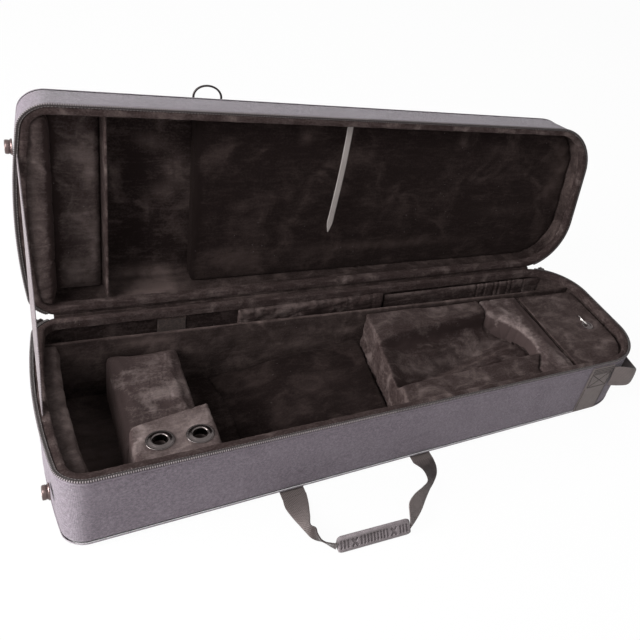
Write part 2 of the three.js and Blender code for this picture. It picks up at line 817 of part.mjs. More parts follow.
function addDRing() {
  const d = dRing;
  const top = plane + lid.depth + gap;
  const r = d.width / 2;
  const x = leftEnd + d.fromEnd;
  const barY = front + lid.draft + d.overhang + d.legs;
  const tabHeight = d.wire * 2 + d.tabThick * 2 + gap * 2;
  const barZ = top + tabHeight / 2;
  const tabFront = barY - d.wire - gap - d.tabThick;
  const tab = block(-d.tabWidth / 2, d.tabWidth / 2, tabFront, barY + d.tabLength, top, top + tabHeight);
  const slot = new THREE.CylinderGeometry(d.wire + gap, d.wire + gap, d.width, 10).rotateZ(Math.PI / 2);
  slot.translate(0, barY, barZ);
  const slope = bar([
    [barY + d.wire * 3, top + tabHeight + overrun], [barY + d.tabLength + overrun, top + tabHeight + overrun],
    [barY + d.tabLength + overrun, top + d.tabThick],
  ], -d.tabWidth, d.tabWidth);
  add(lidGroup, "d_ring_tab", "webbing", cut(tab, slot, slope)).position.set(x, 0, 0);
  const v = (along, out) => new THREE.Vector3(along, out, 0);
  const arc = [];
  const arcSteps = 12;
  for (let i = 0; i <= arcSteps; i++) {
    const turn = Math.PI * (i / arcSteps);
    arc.push(v(r * Math.cos(turn), -d.legs - r * Math.sin(turn) * 0.9));
  }
  const turnIn = r - 2 * d.wire;
  const bar0 = d.tabWidth / 2;
  const points = [
    ...arc, v(-r, -d.legs / 2), v(-turnIn, 0), v(-bar0, 0), v(bar0, 0), v(turnIn, 0), v(r, -d.legs / 2),
  ];
  const curve = new THREE.CatmullRomCurve3(points, true, "centripetal");
  const sides = 8;
  const section = new THREE.Shape(Array.from({ length: sides }, (_, i) => {
    const turn = (i / sides) * 2 * Math.PI;
    return new THREE.Vector2(d.wire * Math.cos(turn), d.wire * Math.sin(turn));
  }));
  const ring = new THREE.ExtrudeGeometry(section, { steps: 48, extrudePath: curve, bevelEnabled: false });
  add(lidGroup, "d_ring", "blackWire", ring).position.set(x, barY, barZ);
}

addDRing();

const hingeFabric = { fromLeft: 50, fromRight: 120, reach: 22, thick: 1.2 };

// The fabric over the hinge: down the base's back wall, then back along the lid's.
function addHingeFabric() {
  const h = hingeFabric;
  const hinge = new THREE.Vector2(halfWidth, plane);
  const opening = (Math.PI - lidOpenAngle) / 2;
  const onBase = (out) => [halfWidth + out - draftAt(base, h.reach), plane - h.reach];
  const onLid = (out) => new THREE.Vector2(halfWidth + out - draftAt(lid, h.reach), plane + h.reach)
    .rotateAround(hinge, -lidOpenAngle).toArray();
  const fold = (out) => {
    const reach = out / Math.sin(opening);
    return [hinge.x + reach * Math.sin(opening), hinge.y - reach * Math.cos(opening)];
  };
  const inner = gap;
  const outer = gap + h.thick;
  const section = [onBase(inner), onBase(outer), fold(outer), onLid(outer), onLid(inner), fold(inner)];
  add(root, "hinge_fabric", "nylon", bar(section, leftEnd + h.fromLeft, rightEnd - h.fromRight));
}

const stay = { pastEnd: 6, thick: 1.6, width: 25, baseFromFront: 132, lidFromFront: 80 };

// A strap across the left end that stops the lid when it has opened.
function addStayStrap() {
  const hinge = new THREE.Vector2(halfWidth, plane);
  const seat = rim.closingGap - gap;
  const half = stay.width / 2;
  const x = leftEnd - stay.pastEnd;
  const baseY = front + stay.baseFromFront;
  const lidY = front + stay.lidFromFront;
  const low = [baseY - half, baseY + half].map((y) => [y, plane - seat]);
  const high = [lidY + half, lidY - half].map((y) =>
    new THREE.Vector2(y, plane + seat).rotateAround(hinge, -lidOpenAngle).toArray());
  const section = [...low, ...high];
  add(root, "stay_strap", "webbing", bar(section, x - stay.thick / 2, x + stay.thick / 2));
}

const slider = { length: 14, depth: 5, height: 6, drop: 1, round: 1.2, lug: 4.4, lugThick: 2.4, bore: 1.5 };
const pull = { length: 24, width: 7, thick: 1.6, eye: 1.6, bar: 1.1 };

// A slider parked at one end of the zipper, with its pull hanging from a bar through its lug.
function addZipEnd(word, index) {
  const s = slider;
  const p = pull;
  const ring = outlinePoints(-rim.coilOverhang - rim.coilRadius - gap * 2);
  const at = ring[index];
  const along = ring[index - 1].clone().sub(ring[index + 1]);
  const top = plane - rim.closingGap - s.drop;
  const body = softPad([
    [-s.length / 2, 0], [s.length / 2, 0], [s.length / 2, s.depth], [-s.length / 2, s.depth],
  ], top - s.height, top, s.round, 2);
  const lugZ = top - s.height / 2;
  const lugFace = s.depth + s.lug;
  const lugSide = s.lugThick / 2;
  const lug = block(-lugSide, lugSide, s.depth / 2, lugFace, lugZ - s.lug / 2, lugZ + s.lug / 2);
  const bore = new THREE.CylinderGeometry(s.bore, s.bore, s.length, 10).rotateZ(Math.PI / 2);
  bore.translate(0, s.depth + s.lug / 2, lugZ);
  const pivot = new THREE.Group();
  pivot.position.set(at.x, at.y, 0);
  pivot.rotation.z = along.angle();
  baseGroup.add(pivot);
  add(pivot, "zip_slider_" + word, "blackWire", cut(join(body, lug), bore));
  const half = p.width / 2;
  const flap = block(-half, half, -p.thick / 2, p.thick / 2, -p.length, p.eye);
  const window = lugSide + gap;
  const slim = new THREE.CylinderGeometry(p.bar, p.bar, window * 2 + p.bar, 8).rotateZ(Math.PI / 2);
  const clear = block(-window, window, -p.thick, p.thick, -s.lug, p.eye + overrun);
  add(pivot, "zip_pull_" + word, "blackWire", join(cut(flap, clear), slim))
    .position.set(0, s.depth + s.lug / 2, lugZ);
}

addHingeFabric();
addStayStrap();
addZipEnd("left", backLeftStart + 3);
addZipEnd("right", backRightStart + cornerTable[1].steps - 3);

// A strip of webbing through stations that give the middle of each edge.
function ribbon(stations, thick) {
  const edges = stations.map(([a, b]) => [new THREE.Vector3(...a), new THREE.Vector3(...b)]);
  const middle = edges.map(([a, b]) => a.clone().lerp(b, 0.5));
  const rings = edges.map(([a, b], i) => {
    const along = middle[Math.min(i + 1, middle.length - 1)].clone().sub(middle[Math.max(i - 1, 0)]);
    const out = b.clone().sub(a).cross(along).setLength(thick / 2);
    return [a.clone().add(out), b.clone().add(out), b.clone().sub(out), a.clone().sub(out)];
  });
  return skin(rings);
}

const endBand = { fromEnd: 146, width: 56, z0: 11.2, drop: 7, thick: 2 };
const endLoop = {
  thick: 2.4,
  plan: [
    [-89.5, -3.2], [-70, -10], [-49, -16], [-34, -11], [-21, 6], [-10, 32], [-2, 60], [1.5, 85], [1.5, 115],
  ],
  lowDrop: [59, 59, 56, 50, 50, 54, 58, 59, 59],
  highDrop: [12, 12, 14, 19, 20, 17, 13, 12, 12],
};

function addEndHandle() {
  const b = endBand;
  const x = rightEnd - b.fromEnd;
  const z1 = plane - b.drop;
  const wallY = (z) => front + draftAt(base, plane - z) - gap;
  add(baseGroup, "end_handle_band", "webbing", bar([
    [wallY(b.z0), b.z0], [wallY(b.z0) - b.thick, b.z0], [wallY(z1) - b.thick, z1], [wallY(z1), z1],
  ], x, x + b.width));
  const l = endLoop;
  const steps = 20;
  const edge = (drops) => {
    const places = l.plan.map(([x, y], i) => new THREE.Vector3(rightEnd + x, front + y, plane - drops[i]));
    return new THREE.CatmullRomCurve3(places, false, "centripetal").getPoints(steps);
  };
  const low = edge(l.lowDrop);
  const high = edge(l.highDrop);
  const stations = low.map((p, i) => [p.toArray(), high[i].toArray()]);
  add(baseGroup, "end_handle_loop", "webbing", ribbon(stations, l.thick));
}

// The edges of the handle's straps, station by station: X, Y from the front of the case, Z.
const handle = {
  thick: 2.5,
  tabs: [[-221, -186], [-6, 30]],
  tabBack: 12,
  tabFront: -2.6,
  tabLow: 0.4,
  tabHigh: 2.6,
  left: [
    [[-221, -3.3, 2.2], [-186, -3.3, 2.2]],
    [[-222, -18, 2.2], [-189, -21, 4]],
    [[-217, -42, 2.2], [-196, -47, 9]],
    [[-209, -66, 2.2], [-203, -68, 16]],
    [[-203, -81, 2.2], [-199, -76, 19]],
    [[-193, -92, 2.4], [-191, -88, 19]],
    [[-186, -102, 2.8], [-185, -99, 18]],
    [[-180, -109.5, 3], [-180, -109.5, 17]],
  ],
  right: [
    [[30, -3.3, 2.2], [-6, -3.3, 2.2]],
    [[27, -22, 2.2], [1, -20, 4]],
    [[20, -37, 2.2], [-1, -38, 9]],
    [[8, -50, 2.2], [-8, -54, 15]],
    [[-6, -62, 2.2], [-24, -66, 21]],
    [[-20, -76, 2.2], [-44, -76, 24]],
    [[-36, -93, 2.2], [-58, -87, 23]],
    [[-54, -108, 2.4], [-64, -102, 20]],
    [[-68.2, -118, 3], [-68.2, -116, 17]],
  ],
};

function addHandleStraps() {
  const h = handle;
  const steps = 24;
  const smooth = (table) => {
    const sides = [0, 1].map((side) => {
      const places = table.map((pair) => new THREE.Vector3(...pair[side]).setY(front + pair[side][1]));
      return new THREE.CatmullRomCurve3(places, false, "centripetal").getPoints(steps);
    });
    return sides[0].map((p, i) => [p.toArray(), sides[1][i].toArray()]);
  };
  ["left", "right"].forEach((word, i) => {
    const [x0, x1] = h.tabs[i];
    const tab = block(x0, x1, front + h.tabFront, front + h.tabBack, h.tabLow, h.tabHigh);
    add(baseGroup, "handle_tab_" + word, "webbing", tab);
    add(baseGroup, "handle_strap_" + word, "webbing", ribbon(smooth(h[word]), h.thick));
  });
}

const grip = {
  x0: -178,
  x1: -70,
  fromFront: -101,
  skew: -7,
  middle: [9, 8.5],
  endTaper: 0.82,
  endLength: 7,
  floor: 0.5,
  section: [
    [0, 1.5], [1.5, 0], [15, 0], [17, 2], [17.2, 5.5], [7, 18], [5, 19.5], [1.5, 19.5], [0, 18],
  ],
  slotWidth: 2.1,
  slotDepth: 1.3,
  slotLength: 10.5,
  slotShares: [0.055, 0.1, 0.31, 0.36, 0.41, 0.46, 0.51, 0.56, 0.61, 0.66, 0.71, 0.895, 0.945],
  crossShares: [0.205, 0.79],
  crossAngle: 0.62,
};

// The moulded grip, with ribs and two crossed grooves on its sloping face.
function addGrip() {
  const g = grip;
  const { middle } = g;
  const yAt = (x) => front + g.fromFront + (g.skew * (x - g.x0)) / (g.x1 - g.x0);
  const ring = (x, scale) => g.section.map(([d, z]) => new THREE.Vector3(
    x, yAt(x) - middle[0] - (d - middle[0]) * scale, g.floor + middle[1] + (z - middle[1]) * scale));
  const body = skin([
    ring(g.x0, g.endTaper), ring(g.x0 + g.endLength, 1), ring(g.x1 - g.endLength, 1), ring(g.x1, g.endTaper),
  ]);
  const [lowD, lowZ] = g.section[4];
  const [highD, highZ] = g.section[5];
  const slope = Math.atan2(highZ - lowZ, lowD - highD);
  const groove = (share, angle) => {
    const x = THREE.MathUtils.lerp(g.x0, g.x1, share);
    const tool = new THREE.BoxGeometry(g.slotWidth, g.slotLength, g.slotDepth * 2).rotateZ(angle);
    return tool.rotateX(slope).translate(x, yAt(x) - (lowD + highD) / 2, g.floor + (lowZ + highZ) / 2);
  };
  const ribs = g.slotShares.map((share) => groove(share, 0));
  const crosses = g.crossShares.flatMap((share) => [-1, 1].map((side) => groove(share, side * g.crossAngle)));
  add(baseGroup, "handle_grip", "rubber", cut(body, ...ribs, ...crosses));
}

addEndHandle();
addHandleStraps();
addGrip();

lidGroup.position.set(0, halfWidth, plane);
lidGroup.rotation.x = -lidOpenAngle;
lidGroup.children.forEach((mesh) => mesh.position.add(new THREE.Vector3(0, -halfWidth, -plane)));

export default root;
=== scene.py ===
import bpy
import bmesh
import math
from mathutils import Matrix, Vector, noise
from mathutils.kdtree import KDTree


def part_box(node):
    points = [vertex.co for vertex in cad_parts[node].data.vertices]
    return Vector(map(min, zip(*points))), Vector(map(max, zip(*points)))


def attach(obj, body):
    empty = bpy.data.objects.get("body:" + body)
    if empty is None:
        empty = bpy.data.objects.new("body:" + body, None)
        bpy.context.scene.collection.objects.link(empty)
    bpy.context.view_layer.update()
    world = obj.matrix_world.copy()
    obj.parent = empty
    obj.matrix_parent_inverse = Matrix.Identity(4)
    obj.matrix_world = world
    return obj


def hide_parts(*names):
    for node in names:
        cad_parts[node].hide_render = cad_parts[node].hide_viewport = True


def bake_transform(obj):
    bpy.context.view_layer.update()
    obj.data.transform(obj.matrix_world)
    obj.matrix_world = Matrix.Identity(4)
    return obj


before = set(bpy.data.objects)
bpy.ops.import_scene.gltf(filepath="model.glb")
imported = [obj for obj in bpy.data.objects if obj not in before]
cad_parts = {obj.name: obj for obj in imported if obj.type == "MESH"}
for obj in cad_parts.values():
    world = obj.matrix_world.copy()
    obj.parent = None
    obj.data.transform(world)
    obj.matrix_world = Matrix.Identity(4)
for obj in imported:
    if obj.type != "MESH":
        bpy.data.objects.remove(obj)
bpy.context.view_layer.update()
scene = bpy.context.scene
mm = 0.001
print("frame loaded")

# the camera stands where the photograph was taken from
shot = {
    "place": (-533.72, -826.15, 899.73),  # millimetres in the part's frame
    "yaw": 0.7697, "pitch": 0.4973, "roll": 0.3381,
    "lens": 39.743, "shift": (-0.3408, -0.0952),
}


def addCamera():
    yaw, pitch, roll = shot["yaw"], shot["pitch"], shot["roll"]
    forward = Vector((math.sin(yaw) * math.cos(pitch), math.cos(yaw) * math.cos(pitch), -math.sin(pitch)))
    level = Vector((math.cos(yaw), -math.sin(yaw), 0))
    over = level.cross(forward)
    right = level * math.cos(roll) + over * math.sin(roll)
    up = over * math.cos(roll) - level * math.sin(roll)
    data = bpy.data.cameras.new("photo_camera")
    camera = bpy.data.objects.new("photo_camera", data)
    scene.collection.objects.link(camera)
    turn = Matrix((right, up, -forward)).transposed().to_4x4()
    camera.matrix_world = Matrix.Translation(Vector(shot["place"]) * mm) @ turn
    data.sensor_fit = "HORIZONTAL"
    data.sensor_width = 36
    data.lens = shot["lens"]
    data.shift_x, data.shift_y = shot["shift"]
    data.clip_start, data.clip_end = 0.01, 100
    scene.camera = camera


studio = {
    "worldLight": 0.3, "floorSize": 16, "floorDrop": 0.0004, "floorColour": (0.9, 0.9, 0.9, 1),
    "floorGlow": 0.96,
    "lamps": {  # place, aim, size, watts
        "window_lamp": ((-2.1, -0.9, 1.9), (-0.1, 0.0, 0.15), 1.3, 46),
        "left_strip": ((-2.5, 0.15, 0.75), (-0.3, 0.0, 0.2), 1.2, 94),
        "front_fill": ((0.8, -2.8, 1.7), (0.1, 0.0, 0.1), 2.4, 15),
        "back_fill": ((1.0, 2.5, 2.2), (0.0, 0.1, 0.2), 2.0, 12),
    },
}


def seenByCamera(tree):
    # 1 for camera, glossy and transmission rays
    paths = tree.nodes.new("ShaderNodeLightPath")
    socket = paths.outputs["Is Camera Ray"]
    for name in ("Is Glossy Ray", "Is Transmission Ray"):
        either = tree.nodes.new("ShaderNodeMath")
        either.operation = "MAXIMUM"
        tree.links.new(socket, either.inputs[0])
        tree.links.new(paths.outputs[name], either.inputs[1])
        socket = either.outputs[0]
    return socket


def mixInto(tree, output, share, first, second):
    mix = tree.nodes.new("ShaderNodeMixShader")
    for i, socket in enumerate((share, first.outputs[0], second.outputs[0])):
        tree.links.new(socket, mix.inputs[i])
    tree.links.new(mix.outputs[0], tree.nodes.new(output).inputs[0])


def addStudio():
    world = bpy.data.worlds.new("white_studio")
    scene.world = world
    world.use_nodes = True
    tree = world.node_tree
    tree.nodes.clear()
    lit = tree.nodes.new("ShaderNodeBackground")
    lit.inputs["Color"].default_value = (1, 1, 1, 1)
    lit.inputs["Strength"].default_value = studio["worldLight"]
    white = tree.nodes.new("ShaderNodeBackground")
    white.inputs["Color"].default_value = (1, 1, 1, 1)
    white.inputs["Strength"].default_value = 1
    mixInto(tree, "ShaderNodeOutputWorld", seenByCamera(tree), lit, white)

    bpy.ops.mesh.primitive_plane_add(size=studio["floorSize"], location=(0, 0, -studio["floorDrop"]))
    floor = bpy.context.object
    floor.name = "studio_floor"
    paint = bpy.data.materials.new("studio_floor")
    paint.use_nodes = True
    tree = paint.node_tree
    tree.nodes.clear()
    matt = tree.nodes.new("ShaderNodeBsdfDiffuse")
    matt.inputs["Color"].default_value = studio["floorColour"]
    glow = tree.nodes.new("ShaderNodeEmission")
    glow.inputs["Color"].default_value = (1, 1, 1, 1)
    share = tree.nodes.new("ShaderNodeMath")
    share.operation = "MULTIPLY"
    share.inputs[1].default_value = studio["floorGlow"]
    tree.links.new(seenByCamera(tree), share.inputs[0])
    mixInto(tree, "ShaderNodeOutputMaterial", share.outputs[0], matt, glow)
    floor.data.materials.append(paint)

    for name, (place, aim, size, watts) in studio["lamps"].items():
        data = bpy.data.lights.new(name, "AREA")
        data.size = size
        data.energy = watts
        lamp = bpy.data.objects.new(name, data)
        scene.collection.objects.link(lamp)
        lamp.location = place
        lamp.rotation_euler = (Vector(aim) - Vector(place)).to_track_quat("-Z", "Y").to_euler()
    scene.view_settings.view_transform = "Standard"


addCamera()
addStudio()
print("camera and studio set")


# modelling helpers
def pickNone():
    if bpy.context.object and bpy.context.object.mode != "OBJECT":
        bpy.ops.object.mode_set(mode="OBJECT")
    bpy.ops.object.select_all(action="DESELECT")


def pick(piece):
    pickNone()
    piece.select_set(True)
    bpy.context.view_layer.objects.active = piece
    return piece


def applyModifier(piece, kind, **values):
    modifier = piece.modifiers.new(kind.title(), kind)
    for name, value in values.items():
        setattr(modifier, name, value)
    pick(piece)
    bpy.ops.object.modifier_apply(modifier=modifier.name)
    return piece


def smoothShade(piece, degrees=40):
    pick(piece)
    bpy.ops.object.shade_smooth_by_angle(angle=math.radians(degrees))
    return piece


# a skin drawn from a first line of points by extruding it from ring to ring
def loft(name, rings, closedRing=True, closedSection=False, caps=False, degrees=40):
    pickNone()
    bpy.ops.mesh.primitive_circle_add(vertices=len(rings[0]), radius=1)
    piece = bpy.context.object
    piece.name = piece.data.name = name
    bpy.ops.object.mode_set(mode="EDIT")
    net = bmesh.from_edit_mesh(piece.data)
    net.verts.ensure_lookup_table()
    if not closedRing:
        for edge in net.edges:
            edge.select = {v.index for v in edge.verts} == {0, len(rings[0]) - 1}
        bmesh.update_edit_mesh(piece.data)
        bpy.ops.mesh.delete(type="EDGE")
        bpy.ops.mesh.select_all(action="SELECT")
        net = bmesh.from_edit_mesh(piece.data)
        net.verts.ensure_lookup_table()
    line = list(net.verts)
    for vert, point in zip(line, rings[0]):
        vert.co = point
    order = [v.index for v in line]
    for ring in rings[1:] + ([rings[0]] if closedSection else []):
        before = len(net.verts)
        bpy.ops.mesh.extrude_edges_move()
        net = bmesh.from_edit_mesh(piece.data)
        net.verts.ensure_lookup_table()
        fresh = []
        for i in order:
            mates = (edge.other_vert(net.verts[i]) for edge in net.verts[i].link_edges)
            fresh.append(next(mate for mate in mates if mate.index >= before))
        for vert, point in zip(fresh, ring):
            vert.co = point
        order = [vert.index for vert in fresh]
    bmesh.update_edit_mesh(piece.data)
    bpy.ops.mesh.select_all(action="SELECT")
    bpy.ops.mesh.remove_doubles(threshold=1e-6)
    if caps:
        bpy.ops.mesh.fill_holes(sides=0)
        bpy.ops.mesh.select_all(action="SELECT")
    bpy.ops.mesh.normals_make_consistent(inside=False)
    bpy.ops.object.mode_set(mode="OBJECT")
    return smoothShade(piece, degrees)


def lathe(name, profile, centre, axis=(0, 0, 1), steps=64, degrees=40):
    # profile: radius and height pairs in millimetres, from one pole or edge to the other
    turn = Vector((0, 0, 1)).rotation_difference(Vector(axis)).to_matrix()
    rings = []
    for radius, height in profile:
        ring = []
        for i in range(steps):
            a = 2 * math.pi * i / steps
            ring.append((turn @ Vector((radius * math.cos(a), radius * math.sin(a),
                                        height)) + Vector(centre)) * mm)
        rings.append(ring)
    return loft(name, rings, degrees=degrees, caps=profile[0][0] > 0.01 and profile[0] != profile[-1])


def smoothLine(points, steps):
    # a curve through the points, evenly spaced in its parameter
    p = [Vector(point) for point in points]
    p = [p[0] * 2 - p[1]] + p + [p[-1] * 2 - p[-2]]
    made = []
    for k in range(steps + 1):
        t = (len(points) - 1) * k / steps
        i = min(int(t), len(points) - 2)
        made.append(curvePoint(p[i:i + 4], t - i))
    return made


def curvePoint(four, t):
    a, b, c, d = four
    t0 = max((b - a).length, 1e-6) ** 0.5
    t1 = max((c - b).length, 1e-6) ** 0.5
    t2 = max((d - c).length, 1e-6) ** 0.5
    m1 = ((b - a) / t0 - (c - a) / (t0 + t1) + (c - b) / t1) * t1
    m2 = ((c - b) / t1 - (d - b) / (t1 + t2) + (d - c) / t2) * t1
    return b + m1 * t + (3 * (c - b) - 2 * m1 - m2) * t * t + (2 * (b - c) + m1 + m2) * t ** 3


def setStrand(piece, values):
    # along and across in metres, for a weave that follows the strip
    field = piece.data.attributes.new("strand", "FLOAT_VECTOR", "POINT")
    for item, value in zip(field.data, values):
        item.vector = value


# webbing between two edges, with soft selvedges
def strip(name, first, second, thick, steps=90, across=10, arch=0.0):
    left = [v * mm for v in smoothLine(first, steps)]
    right = [v * mm for v in smoothLine(second, steps)]
    middle = [(a + b) / 2 for a, b in zip(left, right)]
    lengths = [0.0]
    for a, b in zip(middle, middle[1:]):
        lengths.append(lengths[-1] + (b - a).length)
    half = thick * mm / 2
    spots = []
    for i in range(across + 1):
        share = i / across
        edge = min(share, 1 - share)
        spots.append((share, half * min(1, 0.35 + edge * 9) ** 0.5))
    section = [(s, h) for s, h in spots] + [(s, -h) for s, h in reversed(spots)]
    rings = []
    for share, lift in section:
        ring = []
        for i, (a, b) in enumerate(zip(left, right)):
            along = middle[min(i + 1, steps)] - middle[max(i - 1, 0)]
            out = (b - a).cross(along).normalized()
            ring.append(a.lerp(b, share) + out * (lift + arch * mm * (4 * share * (1 - share) - 0.5)))
        rings.append(ring)
    piece = loft(name, rings, closedRing=False, closedSection=True, caps=True)
    width = (right[0] - left[0]).length
    values = []
    for vert in piece.data.vertices:
        i = min(range(len(middle)), key=lambda k: (middle[k] - vert.co).length_squared)
        along = (middle[min(i + 1, steps)] - middle[max(i - 1, 0)]).normalized()
        side = (right[i] - left[i]).normalized()
        off = vert.co - middle[i]
        values.append((lengths[i] + off.dot(along), off.dot(side) + width / 2, 0))
    setStrand(piece, values)
    return piece


# a soft solid copied from the frame, rounded by a fine remesh
def softCopy(name, node, voxel, passes):
    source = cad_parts[node]
    piece = bpy.data.objects.new(name, source.data.copy())
    piece.data.name = name
    piece.data.materials.clear()
    scene.collection.objects.link(piece)
    pick(piece)
    bpy.ops.object.mode_set(mode="EDIT")
    bpy.ops.mesh.select_all(action="SELECT")
    bpy.ops.mesh.remove_doubles(threshold=1e-5)
    bpy.ops.mesh.normals_make_consistent(inside=False)
    bpy.ops.object.mode_set(mode="OBJECT")
    applyModifier(piece, "REMESH", mode="VOXEL", voxel_size=voxel * mm)
    applyModifier(piece, "SMOOTH", factor=0.5, iterations=passes)
    pick(piece)
    bpy.ops.object.shade_smooth()
    return piece


# air pressure from inside for a few frames, with a cap on how far a point may go
swelling = {"quality": 5, "mass": 0.25, "pressure": 4.0, "frames": 20}


def swell(piece, cap):
    start = [v.co.copy() for v in piece.data.vertices]
    cloth = piece.modifiers.new("Cloth", "CLOTH")
    cloth.settings.quality = swelling["quality"]
    cloth.settings.mass = swelling["mass"]
    cloth.settings.use_pressure = True
    cloth.settings.uniform_pressure_force = swelling["pressure"]
    cloth.settings.effector_weights.gravity = 0
    cloth.point_cache.frame_start, cloth.point_cache.frame_end = 1, swelling["frames"]
    for step in range(1, swelling["frames"] + 1):
        scene.frame_set(step)
    pick(piece)
    bpy.ops.object.modifier_apply(modifier=cloth.name)
    scene.frame_set(1)
    for vert, old in zip(piece.data.vertices, start):
        move = vert.co - old
        vert.co = old + Vector([max(-c * mm, min(c * mm, m)) for m, c in zip(move, cap)])


def crease(value, width):
    # 1 along a line where the noise changes sign, falling off to its sides
    return max(0.0, 1 - abs(value) / width)


# moves each point along its normal, or by a vector; the shape function gives millimetres
def press(piece, shape):
    verts = piece.data.vertices
    before = [(vert.co.copy(), vert.normal.copy()) for vert in verts]
    for vert, (spot, normal) in zip(verts, before):
        move = shape(spot / mm, normal)
        vert.co = spot + (move if isinstance(move, Vector) else normal * move) * mm
    piece.data.update()
    return piece


# painted light and shade: colour made lighter or darker round a few places, for lit patches and for shaded
# sides, creases and hollows: place, reach in millimetres, amount
def paintLightAndShade(piece, lightShadeSpots):
    field = piece.data.attributes.new("painted_light_and_shade", "FLOAT", "POINT")
    for item, vert in zip(field.data, piece.data.vertices):
        p, total = vert.co / mm, 0.0
        for place, reach, amount in lightShadeSpots:
            off = p - Vector(place)
            far = sum((d / r) ** 2 for d, r in zip(off, reach if isinstance(reach, tuple) else (reach,) * 3))
            if far < 6:
                ragged = 1 + 0.6 * ripple(p, 9, 40) + 0.5 * ripple(p, 24, 41)
                total += amount * math.exp(-far * 1.2) * ragged
        item.value = total
    return piece


def ripple(p, scale, seed):
    sx, sy, sz = scale if isinstance(scale, tuple) else (scale, scale, scale)
    return noise.noise(Vector((p.x / sx + seed, p.y / sy - seed, p.z / sz + seed * 0.5)))


def fold(p, scale, seed, width):
    return crease(ripple(p, scale, seed), width)


def finish(piece, body, material, nodes=()):
    piece.data.materials.clear()
    piece.data.materials.append(material)
    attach(piece, body)
    if nodes:
        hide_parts(*nodes)
    return piece


# shader groups: each puts out masks and heights only
def newGroup(name, inputs, outputs):
    group = bpy.data.node_groups.new(name, "ShaderNodeTree")
    for label, kind, value in inputs:
        socket = group.interface.new_socket(name=label, in_out="INPUT", socket_type=kind)
        if value is not None:
            socket.default_value = value
    for label, kind in outputs:
        group.interface.new_socket(name=label, in_out="OUTPUT", socket_type=kind)
    return group, group.nodes.new("NodeGroupInput"), group.nodes.new("NodeGroupOutput")


def mathNode(tree, operation, first, second=None, third=None, clamp=False):
    node = tree.nodes.new("ShaderNodeMath")
    node.operation = operation
    node.use_clamp = clamp
    for i, value in enumerate((first, second, third)):
        if value is None:
            continue
        if isinstance(value, (int, float)):
            node.inputs[i].default_value = value
        else:
            tree.links.new(value, node.inputs[i])
    return node.outputs[0]


def noiseNode(tree, vector, scale, detail=3.0, roughness=0.5, distortion=0.0):
    node = tree.nodes.new("ShaderNodeTexNoise")
    tree.links.new(vector, node.inputs["Vector"])
    for label, value in (("Scale", scale), ("Detail", detail), ("Roughness", roughness),
                         ("Distortion", distortion)):
        if isinstance(value, (int, float)):
            node.inputs[label].default_value = value
        else:
            tree.links.new(value, node.inputs[label])
    return node.outputs["Fac"]


def remap(tree, value, low, high, outLow=0.0, outHigh=1.0):
    node = tree.nodes.new("ShaderNodeMapRange")
    node.clamp = True
    tree.links.new(value, node.inputs["Value"])
    for label, number in (("From Min", low), ("From Max", high), ("To Min", outLow), ("To Max", outHigh)):
        node.inputs[label].default_value = number
    return node.outputs["Result"]


# plain weave: threads of both directions pass over and under each other
def makeWeave():
    group, given, out = newGroup("weave_field", [
        ("Vector", "NodeSocketVector", None), ("Pitch", "NodeSocketFloat", 0.0012),
        ("Uneven", "NodeSocketFloat", 0.3),
    ], [("Height", "NodeSocketFloat"), ("Shade", "NodeSocketFloat")])
    split = group.nodes.new("ShaderNodeSeparateXYZ")
    group.links.new(given.outputs["Vector"], split.inputs[0])
    u = mathNode(group, "ADD", split.outputs[0], mathNode(group, "MULTIPLY", split.outputs[1], 0.73))
    v = mathNode(group, "SUBTRACT", split.outputs[2], mathNode(group, "MULTIPLY", split.outputs[1], 0.61))
    waves = []
    for axis in (u, v):
        turns = mathNode(group, "DIVIDE", axis, given.outputs["Pitch"])
        waves.append(mathNode(group, "SINE", mathNode(group, "MULTIPLY", turns, math.pi)))
    both = mathNode(group, "MULTIPLY", *waves)
    height = mathNode(group, "ABSOLUTE", both)
    over = mathNode(group, "GREATER_THAN", both, 0.0)
    rough = noiseNode(group, given.outputs["Vector"], 900.0, 2.0)
    lift = mathNode(group, "MULTIPLY", mathNode(group, "SUBTRACT", rough, 0.5), given.outputs["Uneven"])
    group.links.new(mathNode(group, "ADD", height, lift), out.inputs["Height"])
    shade = mathNode(group, "MULTIPLY_ADD", over, 0.12, mathNode(group, "MULTIPLY", height, 0.2))
    slub = mathNode(group, "SUBTRACT", noiseNode(group, given.outputs["Vector"], 300.0, 3.0, 0.75), 0.42)
    slub = mathNode(group, "MULTIPLY", slub, 2.6)
    group.links.new(mathNode(group, "ADD", mathNode(group, "ADD", shade, lift), slub), out.inputs["Shade"])
    return group
